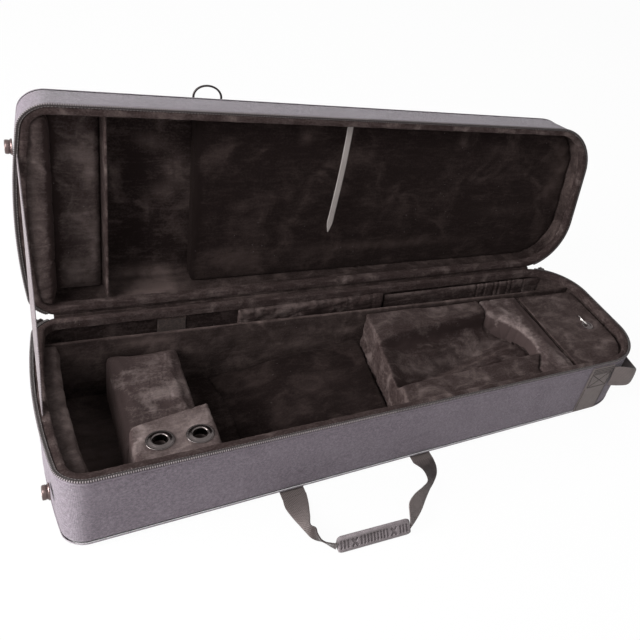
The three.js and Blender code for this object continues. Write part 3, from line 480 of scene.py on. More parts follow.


# pile that lies in different directions in patches, with combed streaks and single fibres
def makeNap():
    group, given, out = newGroup("nap_field", [
        ("Vector", "NodeSocketVector", None), ("Patch", "NodeSocketFloat", 22.0),
        ("Streak", "NodeSocketFloat", 70.0),
    ], [("Tone", "NodeSocketFloat"), ("Height", "NodeSocketFloat"), ("Lint", "NodeSocketFloat")])
    vector = given.outputs["Vector"]
    large = noiseNode(group, vector, given.outputs["Patch"], 3.0, 0.55, 0.9)
    broad = mathNode(group, "POWER", remap(group, large, 0.42, 0.78), 1.6)
    stretch = group.nodes.new("ShaderNodeMapping")
    stretch.inputs["Scale"].default_value = (0.35, 1.0, 1.6)
    stretch.inputs["Rotation"].default_value = (0.3, 0.5, 0.4)
    group.links.new(vector, stretch.inputs["Vector"])
    streaks = remap(group, noiseNode(group, stretch.outputs[0], given.outputs["Streak"], 5.0, 0.6, 1.4), 0.45,
                    0.75)
    fibre = noiseNode(group, vector, 1400.0, 3.0, 0.7)
    curl = noiseNode(group, vector, 330.0, 3.0, 0.65)
    tone = mathNode(group, "MULTIPLY_ADD", broad, 0.62, mathNode(group, "MULTIPLY", streaks, 0.2))
    grain = mathNode(group, "MULTIPLY", mathNode(group, "SUBTRACT", curl, 0.5), 0.55)
    fine = mathNode(group, "MULTIPLY", mathNode(group, "SUBTRACT", fibre, 0.5), 0.5)
    group.links.new(mathNode(group, "ADD", tone, mathNode(group, "ADD", grain, fine), clamp=True),
                    out.inputs["Tone"])
    tall = mathNode(group, "MULTIPLY_ADD", curl, 0.6, mathNode(group, "MULTIPLY", fibre, 0.4))
    group.links.new(mathNode(group, "MULTIPLY_ADD", large, 1.2, tall), out.inputs["Height"])
    cells = group.nodes.new("ShaderNodeTexVoronoi")
    cells.inputs["Scale"].default_value = 75.0
    cells.inputs["Randomness"].default_value = 1.0
    group.links.new(vector, cells.inputs["Vector"])
    near = mathNode(group, "LESS_THAN", cells.outputs["Distance"], 0.045)
    rare = mathNode(group, "GREATER_THAN", noiseNode(group, vector, 11.0, 1.0), 0.56)
    group.links.new(mathNode(group, "MULTIPLY", near, rare), out.inputs["Lint"])
    return group


# wear: soft clouds and fine specks
def makeWear():
    group, given, out = newGroup("wear_field", [
        ("Vector", "NodeSocketVector", None), ("Cloud", "NodeSocketFloat", 9.0),
        ("Speck", "NodeSocketFloat", 420.0),
    ], [("Clouds", "NodeSocketFloat"), ("Specks", "NodeSocketFloat")])
    clouds = noiseNode(group, given.outputs["Vector"], given.outputs["Cloud"], 4.0, 0.55, 0.4)
    specks = noiseNode(group, given.outputs["Vector"], given.outputs["Speck"], 2.0, 0.6)
    group.links.new(remap(group, clouds, 0.3, 0.7), out.inputs["Clouds"])
    group.links.new(remap(group, specks, 0.3, 0.7), out.inputs["Specks"])
    return group


weaveField, napField, wearField = makeWeave(), makeNap(), makeWear()


def linear(red, green, blue):
    return [c / 12.92 / 255 if c < 11 else ((c / 255 + 0.055) / 1.055) ** 2.4 for c in (red, green, blue)] + [1]


def placeGroup(tree, group, vector, **values):
    node = tree.nodes.new("ShaderNodeGroup")
    node.node_tree = group
    tree.links.new(vector, node.inputs["Vector"])
    for label, value in values.items():
        node.inputs[label].default_value = value
    return node


def mixColour(tree, factor, first, second):
    node = tree.nodes.new("ShaderNodeMix")
    node.data_type = "RGBA"
    if isinstance(factor, (int, float)):
        node.inputs[0].default_value = factor
    else:
        tree.links.new(factor, node.inputs[0])
    for socket, value in ((node.inputs[6], first), (node.inputs[7], second)):
        if isinstance(value, (list, tuple)):
            socket.default_value = value
        else:
            tree.links.new(value, socket)
    return node.outputs[2]


def startMaterial(name, attribute=None, **constants):
    material = bpy.data.materials.new(name)
    material.use_nodes = True
    tree = material.node_tree
    shader = tree.nodes["Principled BSDF"]
    for label, value in constants.items():
        shader.inputs[label.replace("_", " ")].default_value = value
    if attribute:
        field = tree.nodes.new("ShaderNodeAttribute")
        field.attribute_name = attribute
        vector = field.outputs["Vector"]
    else:
        vector = tree.nodes.new("ShaderNodeTexCoord").outputs["Object"]
    return material, tree, shader, vector


def addBump(tree, shader, height, distance, strength=1.0):
    bump = tree.nodes.new("ShaderNodeBump")
    bump.inputs["Distance"].default_value = distance
    bump.inputs["Strength"].default_value = strength
    tree.links.new(height, bump.inputs["Height"])
    tree.links.new(bump.outputs[0], shader.inputs["Normal"])


# painted light and shade, read from the point attribute that the spot painting above sets
def paintedLightAndShadeField(tree):
    field = tree.nodes.new("ShaderNodeAttribute")
    field.attribute_name = "painted_light_and_shade"
    return field.outputs["Fac"]


# woven nylon over foam: two thread tones, clouds of wear, a fine grain
def nylonMaterial(name, dark, light, pitch=0.0011):
    material, tree, shader, vector = startMaterial(
        name, Sheen_Weight=0.25, Sheen_Roughness=0.5, Specular_IOR_Level=0.3)
    weave = placeGroup(tree, weaveField, vector, Pitch=pitch, Uneven=0.5)
    wear = placeGroup(tree, wearField, vector, Cloud=14.0, Speck=520.0)
    threads = mixColour(tree, remap(tree, weave.outputs["Shade"], 0.1, 0.9), dark, light)
    worn = mixColour(tree, mathNode(tree, "MULTIPLY", wear.outputs["Clouds"], 0.22), threads, light)
    speckled = mixColour(tree, mathNode(tree, "MULTIPLY", wear.outputs["Specks"], 0.3), worn, dark)
    tree.links.new(speckled, shader.inputs["Base Color"])
    tree.links.new(remap(tree, wear.outputs["Clouds"], 0, 1, 0.88, 0.72), shader.inputs["Roughness"])
    addBump(tree, shader, mathNode(tree, "MULTIPLY_ADD", wear.outputs["Specks"], 0.35, weave.outputs["Height"]),
            0.00018)
    return material


def plushMaterial(name, dark, light, patch=20.0, share=1.0):
    material, tree, shader, vector = startMaterial(
        name, Sheen_Weight=0.16, Sheen_Roughness=0.4, Sheen_Tint=linear(150, 128, 122),
        Specular_IOR_Level=0.08)
    nap = placeGroup(tree, napField, vector, Patch=patch)
    # nap tone plus the painted light and shade
    tone = mathNode(tree, "MULTIPLY_ADD", nap.outputs["Tone"], share, paintedLightAndShadeField(tree), clamp=True)
    pile = mixColour(tree, tone, dark, light)
    specked = mixColour(tree, mathNode(tree, "MULTIPLY", nap.outputs["Lint"], 0.5), pile, linear(150, 140, 140))
    tree.links.new(specked, shader.inputs["Base Color"])
    tree.links.new(remap(tree, nap.outputs["Tone"], 0, 1, 1.0, 0.8), shader.inputs["Roughness"])
    addBump(tree, shader, nap.outputs["Height"], 0.0009)
    return material


def webbingMaterial(name, dark, light, pitch=0.0016):
    material, tree, shader, vector = startMaterial(
        name, "strand", Sheen_Weight=0.2, Sheen_Roughness=0.4, Specular_IOR_Level=0.3)
    split = tree.nodes.new("ShaderNodeSeparateXYZ")  # rows of weft along, ribs across
    tree.links.new(vector, split.inputs[0])
    ribs = []
    for axis, step in ((0, pitch), (1, pitch * 1.25)):
        turns = mathNode(tree, "MULTIPLY", split.outputs[axis], math.pi / step)
        ribs.append(mathNode(tree, "SINE", turns))
    both = mathNode(tree, "MULTIPLY", *ribs)
    wear = placeGroup(tree, wearField, vector, Cloud=28.0, Speck=700.0)
    ribbed = mathNode(tree, "MULTIPLY_ADD", wear.outputs["Clouds"], 0.3, remap(tree, both, -0.8, 0.8))
    # ribs and wear, plus the painted light and shade
    worn = mixColour(tree, mathNode(tree, "ADD", ribbed, paintedLightAndShadeField(tree), clamp=True), dark, light)
    tree.links.new(worn, shader.inputs["Base Color"])
    tree.links.new(remap(tree, wear.outputs["Specks"], 0, 1, 0.7, 0.9), shader.inputs["Roughness"])
    addBump(tree, shader, mathNode(tree, "ADD", mathNode(tree, "ABSOLUTE", both), wear.outputs["Specks"]),
            0.0002)
    return material


def metalMaterial(name, colour, roughness, metallic=1.0):
    material, tree, shader, vector = startMaterial(name, Metallic=metallic)
    wear = placeGroup(tree, wearField, vector, Cloud=90.0, Speck=1800.0)
    dull = [c * 0.72 for c in colour[:3]] + [1]
    worn = mathNode(tree, "MULTIPLY", wear.outputs["Clouds"], 0.5)
    tree.links.new(mixColour(tree, worn, colour, dull), shader.inputs["Base Color"])
    tree.links.new(remap(tree, wear.outputs["Clouds"], 0, 1, roughness, roughness + 0.12),
                   shader.inputs["Roughness"])
    addBump(tree, shader, wear.outputs["Specks"], 0.00002)
    return material


def mouldedMaterial(name, dark, light, roughness=0.5):
    material, tree, shader, vector = startMaterial(name, Specular_IOR_Level=0.45)
    wear = placeGroup(tree, wearField, vector, Cloud=60.0, Speck=2200.0)
    worn = mathNode(tree, "MULTIPLY_ADD", wear.outputs["Clouds"], 0.3, 0.35)
    # wear clouds plus the painted light and shade
    shade = mathNode(tree, "ADD", worn, paintedLightAndShadeField(tree), clamp=True)
    tree.links.new(mixColour(tree, shade, dark, light), shader.inputs["Base Color"])
    tree.links.new(remap(tree, wear.outputs["Specks"], 0, 1, roughness, roughness + 0.15),
                   shader.inputs["Roughness"])
    addBump(tree, shader, wear.outputs["Specks"], 0.00006)
    return material


nylon = nylonMaterial("woven_nylon", linear(79, 69, 78), linear(127, 115, 126))
# a lighter tape than the nylon, made lighter still as painted light against the shade along the case's bottom
# edge
bindingCloth = nylonMaterial("binding_cloth", linear(120, 112, 119), linear(166, 158, 164), 0.0008)
plush = plushMaterial("dark_plush", linear(34, 26, 25), linear(104, 90, 87))
# copies of the one velour in other tones: the next is painted shade for pads that lie in shade, the two after
# it painted light for pads that stand in the light
plushPaintedShade = plushMaterial("plush_painted_shade", linear(25, 18, 17), linear(84, 71, 68), 16.0, 0.7)
plushLit = plushMaterial("plush_painted_lit", linear(48, 38, 37), linear(124, 110, 107), 26.0)
plushPaintedBright = plushMaterial("plush_painted_bright", linear(66, 55, 54), linear(158, 143, 140), 24.0)
tapeCloth = webbingMaterial("zip_tape", linear(30, 25, 25), linear(54, 47, 46), 0.0009)
webbing = webbingMaterial("strap_webbing", linear(52, 44, 43), linear(118, 108, 106))
paleWebbing = webbingMaterial("pale_webbing", linear(104, 96, 94), linear(164, 156, 153))
stayWebbing = webbingMaterial("stay_webbing", linear(74, 67, 69), linear(120, 111, 114))
hookCloth = nylonMaterial("hook_tape", linear(40, 29, 26), linear(80, 63, 58), 0.0017)
threadYarn = mouldedMaterial("sewing_thread", linear(92, 84, 84), linear(134, 126, 125), 0.7)
coilPlastic = mouldedMaterial("coil_plastic", linear(100, 92, 94), linear(156, 146, 148), 0.42)
# painted shade: a dark copy for the slim faces between the coil's teeth
coilShade = mouldedMaterial("coil_gap_painted_shade", linear(26, 22, 22), linear(44, 38, 37), 0.7)
# thread darkened as painted shade of the sunken stitch lines
seamYarnShaded = mouldedMaterial("seam_thread_painted_shade", linear(38, 31, 30), linear(58, 50, 49), 0.75)
rubber = mouldedMaterial("moulded_grip", linear(66, 58, 59), linear(138, 129, 132), 0.46)
nickel = metalMaterial("nickel_plate", linear(205, 200, 196), 0.16)
blackWire = metalMaterial("black_wire", linear(52, 46, 46), 0.32, 0.7)
gunmetal = metalMaterial("gunmetal_plate", linear(98, 91, 90), 0.17)
footMetal = metalMaterial("foot_metal", linear(108, 92, 90), 0.24, 0.9)
print("materials made")


# the case's outline, in millimetres, as in the solid model
outline = {
    "halfLength": 490, "halfWidth": 160, "bow": 13, "bowReach": 120, "pitch": 5.0, "plane": 134,
    "corners": ((1, -1, 95, -0.5), (1, 1, 106, 0.0), (-1, 1, 32, 0.5), (-1, -1, 32, 1.0)),
}
halves = {"base": {"depth": 134, "draft": 7, "sign": -1}, "lid": {"depth": 86, "draft": 5, "sign": 1}}
openTurn = (Matrix.Translation((0, 0.16, 0.134)) @ Matrix.Rotation(math.radians(-95), 4, "X")
            @ Matrix.Translation((0, -0.16, -0.134)))
shutTurn, shutNormal = openTurn.inverted(), openTurn.to_3x3().inverted()


def onLid(spot):
    # a place on the shut lid, in millimetres, as it stands with the lid open
    return openTurn @ (spot * mm) / mm


def outlineSteps(pitch):
    # steps round each corner and along the straight that follows it
    o = outline
    steps = []
    for (sx, sy, radius, _), (nx, _, following, _) in zip(o["corners"], o["corners"][1:] + o["corners"][:1]):
        span = 2 * (o["halfWidth"] if sx == nx else o["halfLength"]) - radius - following
        steps.append((round(radius * math.pi / 2 / pitch), round(span / pitch)))
    return steps


def ringPoints(inset, pitch=None):
    # the same number of points at every inset
    o = outline
    arcs = []
    steps = outlineSteps(pitch or o["pitch"])
    for (sx, sy, radius, start), (bend, _) in zip(o["corners"], steps):
        cx, cy = sx * (o["halfLength"] - radius), sy * (o["halfWidth"] - radius)
        turns = [math.pi * (start + 0.5 * i / bend) for i in range(bend + 1)]
        arcs.append([(cx + (radius - inset) * math.cos(t), cy + (radius - inset) * math.sin(t)) for t in turns])
    bent = []
    for arc, following, (_, straight) in zip(arcs, arcs[1:] + arcs[:1], steps):
        (x0, y0), (x1, y1) = arc[-1], following[0]
        line = [(x0 + (x1 - x0) * k / straight, y0 + (y1 - y0) * k / straight) for k in range(1, straight)]
        for x, y in arc + line:
            near = min(1, max(0, 1 - (x - inset + o["halfLength"]) / o["bowReach"]))
            bent.append((x - o["bow"] * near * max(0, 1 - (y / o["halfWidth"]) ** 2), y))
    return bent


def place(half, x, y, fromPlane):
    point = Vector((x, y, outline["plane"] + halves[half]["sign"] * fromPlane)) * mm
    return openTurn @ point if half == "lid" else point


def halfRing(half, inset, fromPlane, toSpine=0.0, pitch=None):
    h = halves[half]
    reach = outline["halfLength"] - outline["halfWidth"]
    ring = []
    for x, y in ringPoints(inset + h["draft"] * fromPlane / h["depth"], pitch):
        spine = max(-reach, min(reach, x))
        ring.append(place(half, x + (spine - x) * toSpine, y * (1 - toSpine), fromPlane))
    return ring


def arcSection(centre, radius, fromTurn, toTurn, steps):
    return [(centre[0] + radius * math.cos(math.pi * (fromTurn + (toTurn - fromTurn) * i / steps)),
             centre[1] + radius * math.sin(math.pi * (fromTurn + (toTurn - fromTurn) * i / steps)))
            for i in range(steps + 1)]


spineShares = (0.12, 0.25, 0.4, 0.55, 0.7, 0.85, 1.0)

# foam walls under a skin of woven nylon, drawn in a little along the bottom seam
shellSizes = {"wall": 6.5, "floor": 6.5, "edgeRound": 18, "rimTop": 2.5, "waves": 0.5, "rows": 9,
              "rowsFrom": 14, "seamNear": 5.5, "darkEdge": 4.8,
              "seam": ((0.1, 4.6), (-0.35, 5.0), (-0.4, 6.2), (0, 7.2), (0.3, 8.2), (0.45, 9.0), (0.3, 9.8),
                       (0, 11))}


def shellPiece(half):
    s, depth = shellSizes, halves[half]["depth"]
    edge, top, start = s["edgeRound"], s["rimTop"], s["rowsFrom"]
    rings = [halfRing(half, s["wall"], depth - s["floor"], t) for t in reversed(spineShares)]
    rings += [halfRing(half, s["wall"], d) for d in (depth - s["floor"], depth / 2, top + 0.6)]
    rings += [halfRing(half, i, d) for i, d in ((5.9, top), (3, top), (0.9, top), (0.25, top + 0.25),
                                                (0, top + 0.9))]
    for inset, fromPlane in s["seam"]:  # a dark edge, a turned skin and the row of sewing under it
        rings.append(halfRing(half, inset, fromPlane))
    for k in range(s["rows"]):
        rings.append(halfRing(half, 0, start + (depth - edge - start) * k / (s["rows"] - 1)))
    for inset, fromPlane in arcSection((edge, depth - edge), edge, 1.0, 0.5, 12)[1:]:
        rings.append(halfRing(half, inset, fromPlane))
    rings += [halfRing(half, edge, depth, t) for t in spineShares]
    piece = loft(half + "_case_shell", rings, degrees=60)
    sign = halves[half]["sign"]

    def shape(p, normal):
        local = shutTurn @ (p * mm) / mm if half == "lid" else p
        fromPlane = (local.z - outline["plane"]) * sign
        outer = (shutNormal @ normal if half == "lid" else normal)
        onWall = abs(outer.z) < 0.85 and outer.dot(Vector((local.x * 0.33, local.y, 0))) > 0
        if fromPlane > depth - 1 or not onWall or fromPlane < 11:
            return 0.0 if not (fromPlane > depth - 1 and half == "lid") else -0.5 * abs(ripple(p, 150, 3))
        fade = min(1, (fromPlane - 11) / 8, max(0, (depth - edge - fromPlane) / 10 + 0.3))
        waves = ripple(p, (130, 130, 42), 5) * 0.8 + ripple(p, (46, 46, 30), 11) * 0.35
        crown = 0.5 * math.sin(math.pi * min(1, fromPlane / (depth - edge)))
        groove = 0.9 * math.exp(-((fromPlane - (depth - edge * 0.62)) / s["seamNear"] * 2) ** 2)
        return (waves * s["waves"] - 0.4 + crown * 0.4) * fade - groove

    press(piece, shape)
    finish(piece, half, nylon, [half + "_shell"])
    piece.data.materials.append(plush)
    for face in piece.data.polygons:  # the dark edge beside the zipper
        local = shutTurn @ face.center / mm if half == "lid" else face.center / mm
        out = shutNormal @ face.normal if half == "lid" else face.normal
        fromPlane = (local.z - outline["plane"]) * sign
        if fromPlane < s["darkEdge"] and (fromPlane > top + 0.8 or -out.z * sign > 0.35):
            face.material_index = 1
    return piece


for half in halves:
    shellPiece(half)
print("shells made")

# the velour that lines both halves, slack in its corners
liningSizes = {"outer": 6.8, "inner": 9.0, "near": 14.3, "thick": 2.2, "cornerRound": 7, "rows": 14}
# painted light and shade on the lining: lit patches on the walls and in the deep left well of the base,
# darkened spots in the lid
liningLightShade = {
    "base": (((478, 40, 90), (14, 90, 30), 0.35), ((440, 120, 100), (50, 30, 24), 0.25),
             ((-440, -30, 20), (44, 130, 60), 0.85)),
    "lid": (((-330, 258, 372), (22, 20, 7), 0.35), ((-290, 254, 322), (20, 20, 26), 0.5),
            ((-312, 250, 290), (20, 20, 10), 0.4),
            ((-272, 249, 276), (10, 20, 20), 0.35), ((-301, 247, 250), (30, 20, 3), 0.5),
            ((-299, 241, 176), (14, 20, 5), 0.3),
            ((-335, 205, 146), (52, 60, 14), 1.1), ((470, 230, 300), (16, 50, 120), 0.3),
            ((-340, 245, 210), (40, 20, 20), -0.25),
            ((-350, 252, 330), (14, 20, 30), -0.2)),
}


def liningPiece(half):
    s, depth = liningSizes, halves[half]["depth"]
    far = depth - s["outer"]
    floor, r = far - s["thick"], s["cornerRound"]
    rings = [halfRing(half, s["outer"], far, t) for t in reversed(spineShares)]
    rings += [halfRing(half, s["outer"], d) for d in (far - 0.5, depth / 2, s["near"])]
    rings += [halfRing(half, s["inner"], s["near"] + (floor - r - s["near"]) * k / s["rows"])
              for k in range(s["rows"] + 1)]
    for inset, fromPlane in arcSection((s["inner"] + r, floor - r), r, 1.0, 0.5, 5)[1:]:
        rings.append(halfRing(half, inset, fromPlane))
    rings += [halfRing(half, s["inner"] + r, floor, t) for t in (0.06,) + spineShares]
    piece = loft(half + "_plush_lining", rings, degrees=70)

    def shape(p, normal):
        folds = fold(p, (38, 38, 120), 7, 0.16) * 0.9 + fold(p, (160, 60, 26), 23, 0.12) * 0.6
        return ripple(p, 30, 2) * 0.35 - folds * 0.8 - 0.1

    press(piece, shape)
    paintLightAndShade(piece, liningLightShade[half])
    return finish(piece, half, plush, [half + "_lining"])


for half in halves:
    liningPiece(half)
print("linings made")

# the plush roll inside each zipper, a touch uneven where it was sewn
lipSizes = {"outer": 6.8, "flange": 3.7, "under": 2.4, "inner": 14.3, "top": 0.45, "depth": 14, "crown": 2.2}


def lipPiece(half):
    s = lipSizes
    middle, r = (s["flange"] + s["inner"]) / 2, (s["inner"] - s["flange"]) / 2
    section = [(s["outer"], s["depth"]), (s["outer"], s["depth"] * 0.6), (s["outer"], s["under"]),
               (5.2, s["under"])]
    for inset, lift in arcSection((middle, 0), 1.0, 1.0, 0.0, 12):
        drop = s["crown"] * (1 - lift ** 0.6) * (0.75 if inset < middle else 1)
        section.append((middle + (inset - middle) * r, s["top"] + drop))
    section += [(s["inner"], s["depth"] * k) for k in (0.35, 0.55, 0.75, 1.0)]
    piece = loft(half + "_rim_roll", [halfRing(half, i, d, pitch=3.5) for i, d in section], closedSection=True,
                 degrees=60)

    def shape(p, normal):
        pucker = fold(p, (26, 26, 90), 31, 0.2)
        return ripple(p, 14, 4) * 0.4 - pucker * 0.5 - 0.15

    press(piece, shape)
    # painted light: the rim roll takes the lit copy of the velour
    return finish(piece, half, plushLit, [half + "_rim_lip"])


for half in halves:
    lipPiece(half)
print("rim rolls made")

# zipper: woven tape with two rows of stitches, and a coil whose turns stand side by side
zipSizes = {"tape": (0.35, 3.5), "tapeTop": 0.4, "tapeThick": 1.7, "radius": 1.5, "overhang": 0.1, "turn": 2.6,
            "slim": 0.78, "pitch": 4.0, "sewn": 2.9}


def zipOrder(pitch):
    # from just past the back left corner, round the front, to the back right one
    steps = outlineSteps(pitch)
    starts = [sum(a + b for a, b in steps[:k]) for k in range(5)]
    first = starts[2] + round(steps[2][0] / 3)
    last = starts[4] + starts[1] + round(steps[1][0] * 0.8)
    return [k % starts[4] for k in range(first, last + 1)]


def zipPieces(half):
    z = zipSizes
    (a, b), top, low = z["tape"], z["tapeTop"], z["tapeTop"] + z["tapeThick"]
    order = zipOrder(z["pitch"])
    across = [a + (b - a) * k / 8 for k in range(9)]
    section = [(i, top + 0.12 * math.sin(math.pi * k / 8)) for k,
               i in enumerate(across)] + [(i, low) for i in reversed(across)]
    rings = [[ring[k] for k in order] for ring in (halfRing(half, i, d, pitch=z["pitch"]) for i, d in section)]
    tape = loft(half + "_zip_band", rings, closedRing=False, closedSection=True, caps=True)
    path = rings[4]
    lengths = [0.0]
    for p, q in zip(path, path[1:]):
        lengths.append(lengths[-1] + (q - p).length)
    values = []
    tree = KDTree(len(path))
    for k, point in enumerate(path):
        tree.insert(point, k)
    tree.balance()
    for vert in tape.data.vertices:
        near, index, _ = tree.find(vert.co)
        values.append((lengths[index], (vert.co - near).length, 0))
    setStrand(tape, values)
    finish(tape, half, tapeCloth, [half + "_zip_tape"])

    pitch = z["turn"] / 4
    order = zipOrder(pitch)
    middle, depth = -z["overhang"], z["tapeTop"] + z["radius"]
    rings = []
    for k in range(8):
        turn = 2 * math.pi * (k + 0.5) / 8
        wide, slim = (halfRing(half, middle + r * math.cos(turn), depth + r * math.sin(turn), pitch=pitch)
                      for r in (z["radius"], z["radius"] * z["slim"]))
        rings.append([(slim if n % 4 > 1 else wide)[i] for n, i in enumerate(order)])
    coil = loft(half + "_zip_teeth", rings, closedRing=False, closedSection=True, caps=True, degrees=50)
    finish(coil, half, coilPlastic, [half + "_zip_coil"])
    coil.data.materials.append(coilShade)
    for face in coil.data.polygons:  # light teeth, with painted shade on the slim faces between them
        near = {v % len(order) % 4 for v in face.vertices}
        face.material_index = int(near not in ({0, 1}, {0, 3}))


for half in halves:
    zipPieces(half)
print("zippers made")

# the binding sewn over the seam at the far edge of each half
bindingSizes = {"width": 9.0, "thick": 1.5, "start": 0.11, "round": 18, "gap": 0.95}


def bindingPiece(half):
    s, depth = bindingSizes, halves[half]["depth"]
    sweep = s["width"] / s["round"] / math.pi
    inner, outer = s["round"] + s["gap"], s["round"] + s["gap"] + s["thick"]
    centre = (s["round"], depth - s["round"])
    arc = arcSection(centre, inner, 1 - s["start"], 1 - s["start"] - sweep, 8)
    section = list(arc)
    for k, (inset, fromPlane) in reversed(list(enumerate(arc))):
        edge = min(k, 8 - k) / 8
        lift = (outer - inner) * min(1, 0.45 + 2.2 * edge)
        if k in (2, 6):  # sewn down near both edges
            lift *= 0.82
        away = Vector((inset - centre[0], fromPlane - centre[1])).normalized() * (inner + lift)
        section.append((centre[0] + away.x, centre[1] + away.y))
    piece = loft(half + "_seam_piping", [halfRing(half, i, d, pitch=4.0) for i, d in section],
                 closedSection=True, degrees=50)
    press(piece, lambda p, normal: ripple(p, 12, 9) * 0.12)
    return finish(piece, half, bindingCloth, [half + "_seam_binding"])


for half in halves:
    bindingPiece(half)
print("seam bindings made")


# plush pads of the base
def faceShare(value, low, high):
    return min(1.0, max(0.0, (value - low) / (high - low)))


# lit and shaded copies of the one velour: the lit ones are painted light, the deep one is painted shade
tones = {"lit": (plushLit, "velourLit"), "brighter_lit": (plushPaintedBright, "velourLit"), "dark": (plush, "velour"),
         "deep": (plushPaintedShade, "velour")}
# each pad's spots are painted light and shade: lit tops and patches, shaded sides, ledge feet, creases and
# hollows
basePads = {
    "left_end_pad": {"piece": "end_cushion", "voxel": 3.0, "cap": (1.2, 0.2, 1.5), "fill": 0.9,
                     "lightShadeSpots": (((-468, 0, 110), (30, 200, 16), 0.4), ((-458, -60, 90), (20, 60, 30), 0.3))},
    "bridge_saddle": {"piece": "bell_rest", "voxel": 3.2, "cap": (0.3, 0.3, 2.2), "fill": 0.85, "tone": "brighter_lit",
                      "lightShadeSpots": (((-352, -8, 86), 9, -0.35), ((-391, 60, 60), (14, 60, 40), -0.3),
                                  ((-408, 0, 50), (7, 120, 50), -0.6))},
    "mouthpiece_block": {"piece": "mouthpiece_rest", "voxel": 2.8, "passes": 4, "fill": 0.95, "tone": "brighter_lit",
                         "lightShadeSpots": (((-350, -95, 119), 50, 0.2), ((-408, -100, 60), (6, 60, 60), -0.5))},
    "bell_well_bed": {"piece": "bell_bed", "voxel": 4.0, "fill": 0.8, "tone": "deep",
                      "lightShadeSpots": (((-199, 43, 50), 26, 0.12), ((-83, 30, 50), (34, 20, 20), 0.16),
                                  ((-64, -30, 50), 22, 0.14),
                                  ((-180, -40, 50), (60, 40, 20), -0.12))},
    "bell_cradle": {"piece": "bell_cushion", "voxel": 4.0, "passes": 5, "fill": 0.9,
                    "lightShadeSpots": (((-20, 60, 90), (14, 40, 26), 0.3), ((-24, -20, 104), (10, 130, 9), 0.4),
                                ((120, 78, 113), (190, 24, 8), 0.1), ((120, -104, 114), (190, 24, 8), 0.04))
                    + tuple(((x, 17 + 0.147 * x, 94), (34, 10, 12), -0.5) for x in (30, 85, 140, 195, 240))
                    + tuple(((x, -52 + 0.3 * x, 74), (34, 10, 20), 0.3) for x in (60, 120, 180, 230))
                    + tuple(((x, -68 + 0.05 * x, 90), (34, 9, 20), -0.5) for x in (30, 85, 140, 195, 240))},
    "bow_block": {"piece": "bow_cushion", "voxel": 3.4, "passes": 5, "cap": (0.3, 0.3, 1.6), "fill": 0.9,
                  "tone": "brighter_lit",
                  "lightShadeSpots": tuple(((x, y, z), (13, 20, 6 if z > 100 else 18), amount)
                                   for x, y in ((286, -40), (281, -6), (265, 26), (240, 47)) for z,
                                   amount in ((109, 0.34), (84, -0.8)))
                  + (((262, 62, 116), (34, 12, 8), -0.12), ((306, 20, 116), (10, 60, 8), -0.1),
                     ((318, 0, 113), (12, 70, 10), -0.35))},
    "accessory_box": {"piece": "box_tray", "voxel": 3.0, "passes": 3, "fill": 0.95, "tone": "dark"},
    "accessory_lid": {"piece": "box_cover", "voxel": 1.7, "passes": 3, "fine": False, "fill": 0.95,
                      "lightShadeSpots": (((410, -20, 114), (70, 120, 8), 0.14),)},
    "slide_rest_left": {"piece": "slide_cushion_left", "voxel": 2.6, "passes": 5, "cap": (0.5, 1.5, 1.0),
                        "fill": 0.8,
                        "lightShadeSpots": (((-120, 136, 125), (110, 10, 5), 0.3),
                                    ((-206, 134, 100), (8, 10, 22), 0.35),
                                    ((-60, 134, 96), (160, 10, 16), -0.25))},
    "slide_rest_right": {"piece": "slide_cushion_right", "voxel": 2.4, "passes": 3, "fill": 0.85,
                         "lightShadeSpots": (((90, 140, 116), (50, 12, 6), 0.25), ((240, 140, 118), (60, 12, 6), 0.2),
                                     ((320, 140, 118), (40, 12, 6), 0.2))},
}


def endCushionShape(p, n):
    folds = fold(p, (40, 24, 60), 3, 0.22)
    return ripple(p, 34, 1) * 0.7 - folds * 0.7 * faceShare(n.x, 0.2, 0.8) - 0.1


def bellRestShape(p, n):
    top = faceShare(n.z, 0.3, 0.9)
    tufts = 0.0
    for x, y, deep in ((-352, -8, 2.2), (-379, 6, 1.4), (-340, 24, 1.0), (-368, -38, 1.0)):  # pressed spots
        tufts += deep * math.exp(-((p.x - x) ** 2 / 70 + (p.y - y) ** 2 / 60))
    folds = fold(p, (60, 34, 40), 8, 0.2) * 0.9 + fold(p, (18, 40, 30), 12, 0.12) * 0.5
    skin = ripple(p, 30, 2) * 1.0 - (tufts + folds) * top - folds * 0.6 * (1 - top)
    crown = 2.5 * math.sin(math.pi * faceShare(p.y, -60, 112)) * top
    return skin + crown


def mouthRestShape(p, n):
    hole = min(math.hypot(p.x + 376, p.y + 107), math.hypot(p.x + 328, p.y + 110))
    calm = faceShare(hole, 18, 26)
    return (ripple(p, 26, 6) * 0.7 - fold(p, (44, 20, 60), 14, 0.16) * 0.7) * calm


def bellBedShape(p, n):
    line = crease((p.x + 150 + 0.25 * p.y) + 6 * ripple(p, 60, 4), 5)  # the faint seam across the bed
    folds = fold(p, (70, 30, 40), 5, 0.15)
    skin = (ripple(p, 44, 6) * 1.1 + line * 0.8 - folds * 0.9) * faceShare(n.z, 0.2, 0.8)
    return n * skin + Vector((24 * faceShare(p.y, -149, 106) * faceShare(p.x, -120, -30), 0, 0))


def leanBack(p, start, end):
    # the cradle's left face runs askew: its back end stands further right than its front end
    return 24 * faceShare(p.y, -149, 106) * faceShare(end - p.x, 0, end - start)


def bellCushionShape(p, n):
    return Vector((leanBack(p, -10, 90), 0, 0)) + bellCushionSkin(p, n)


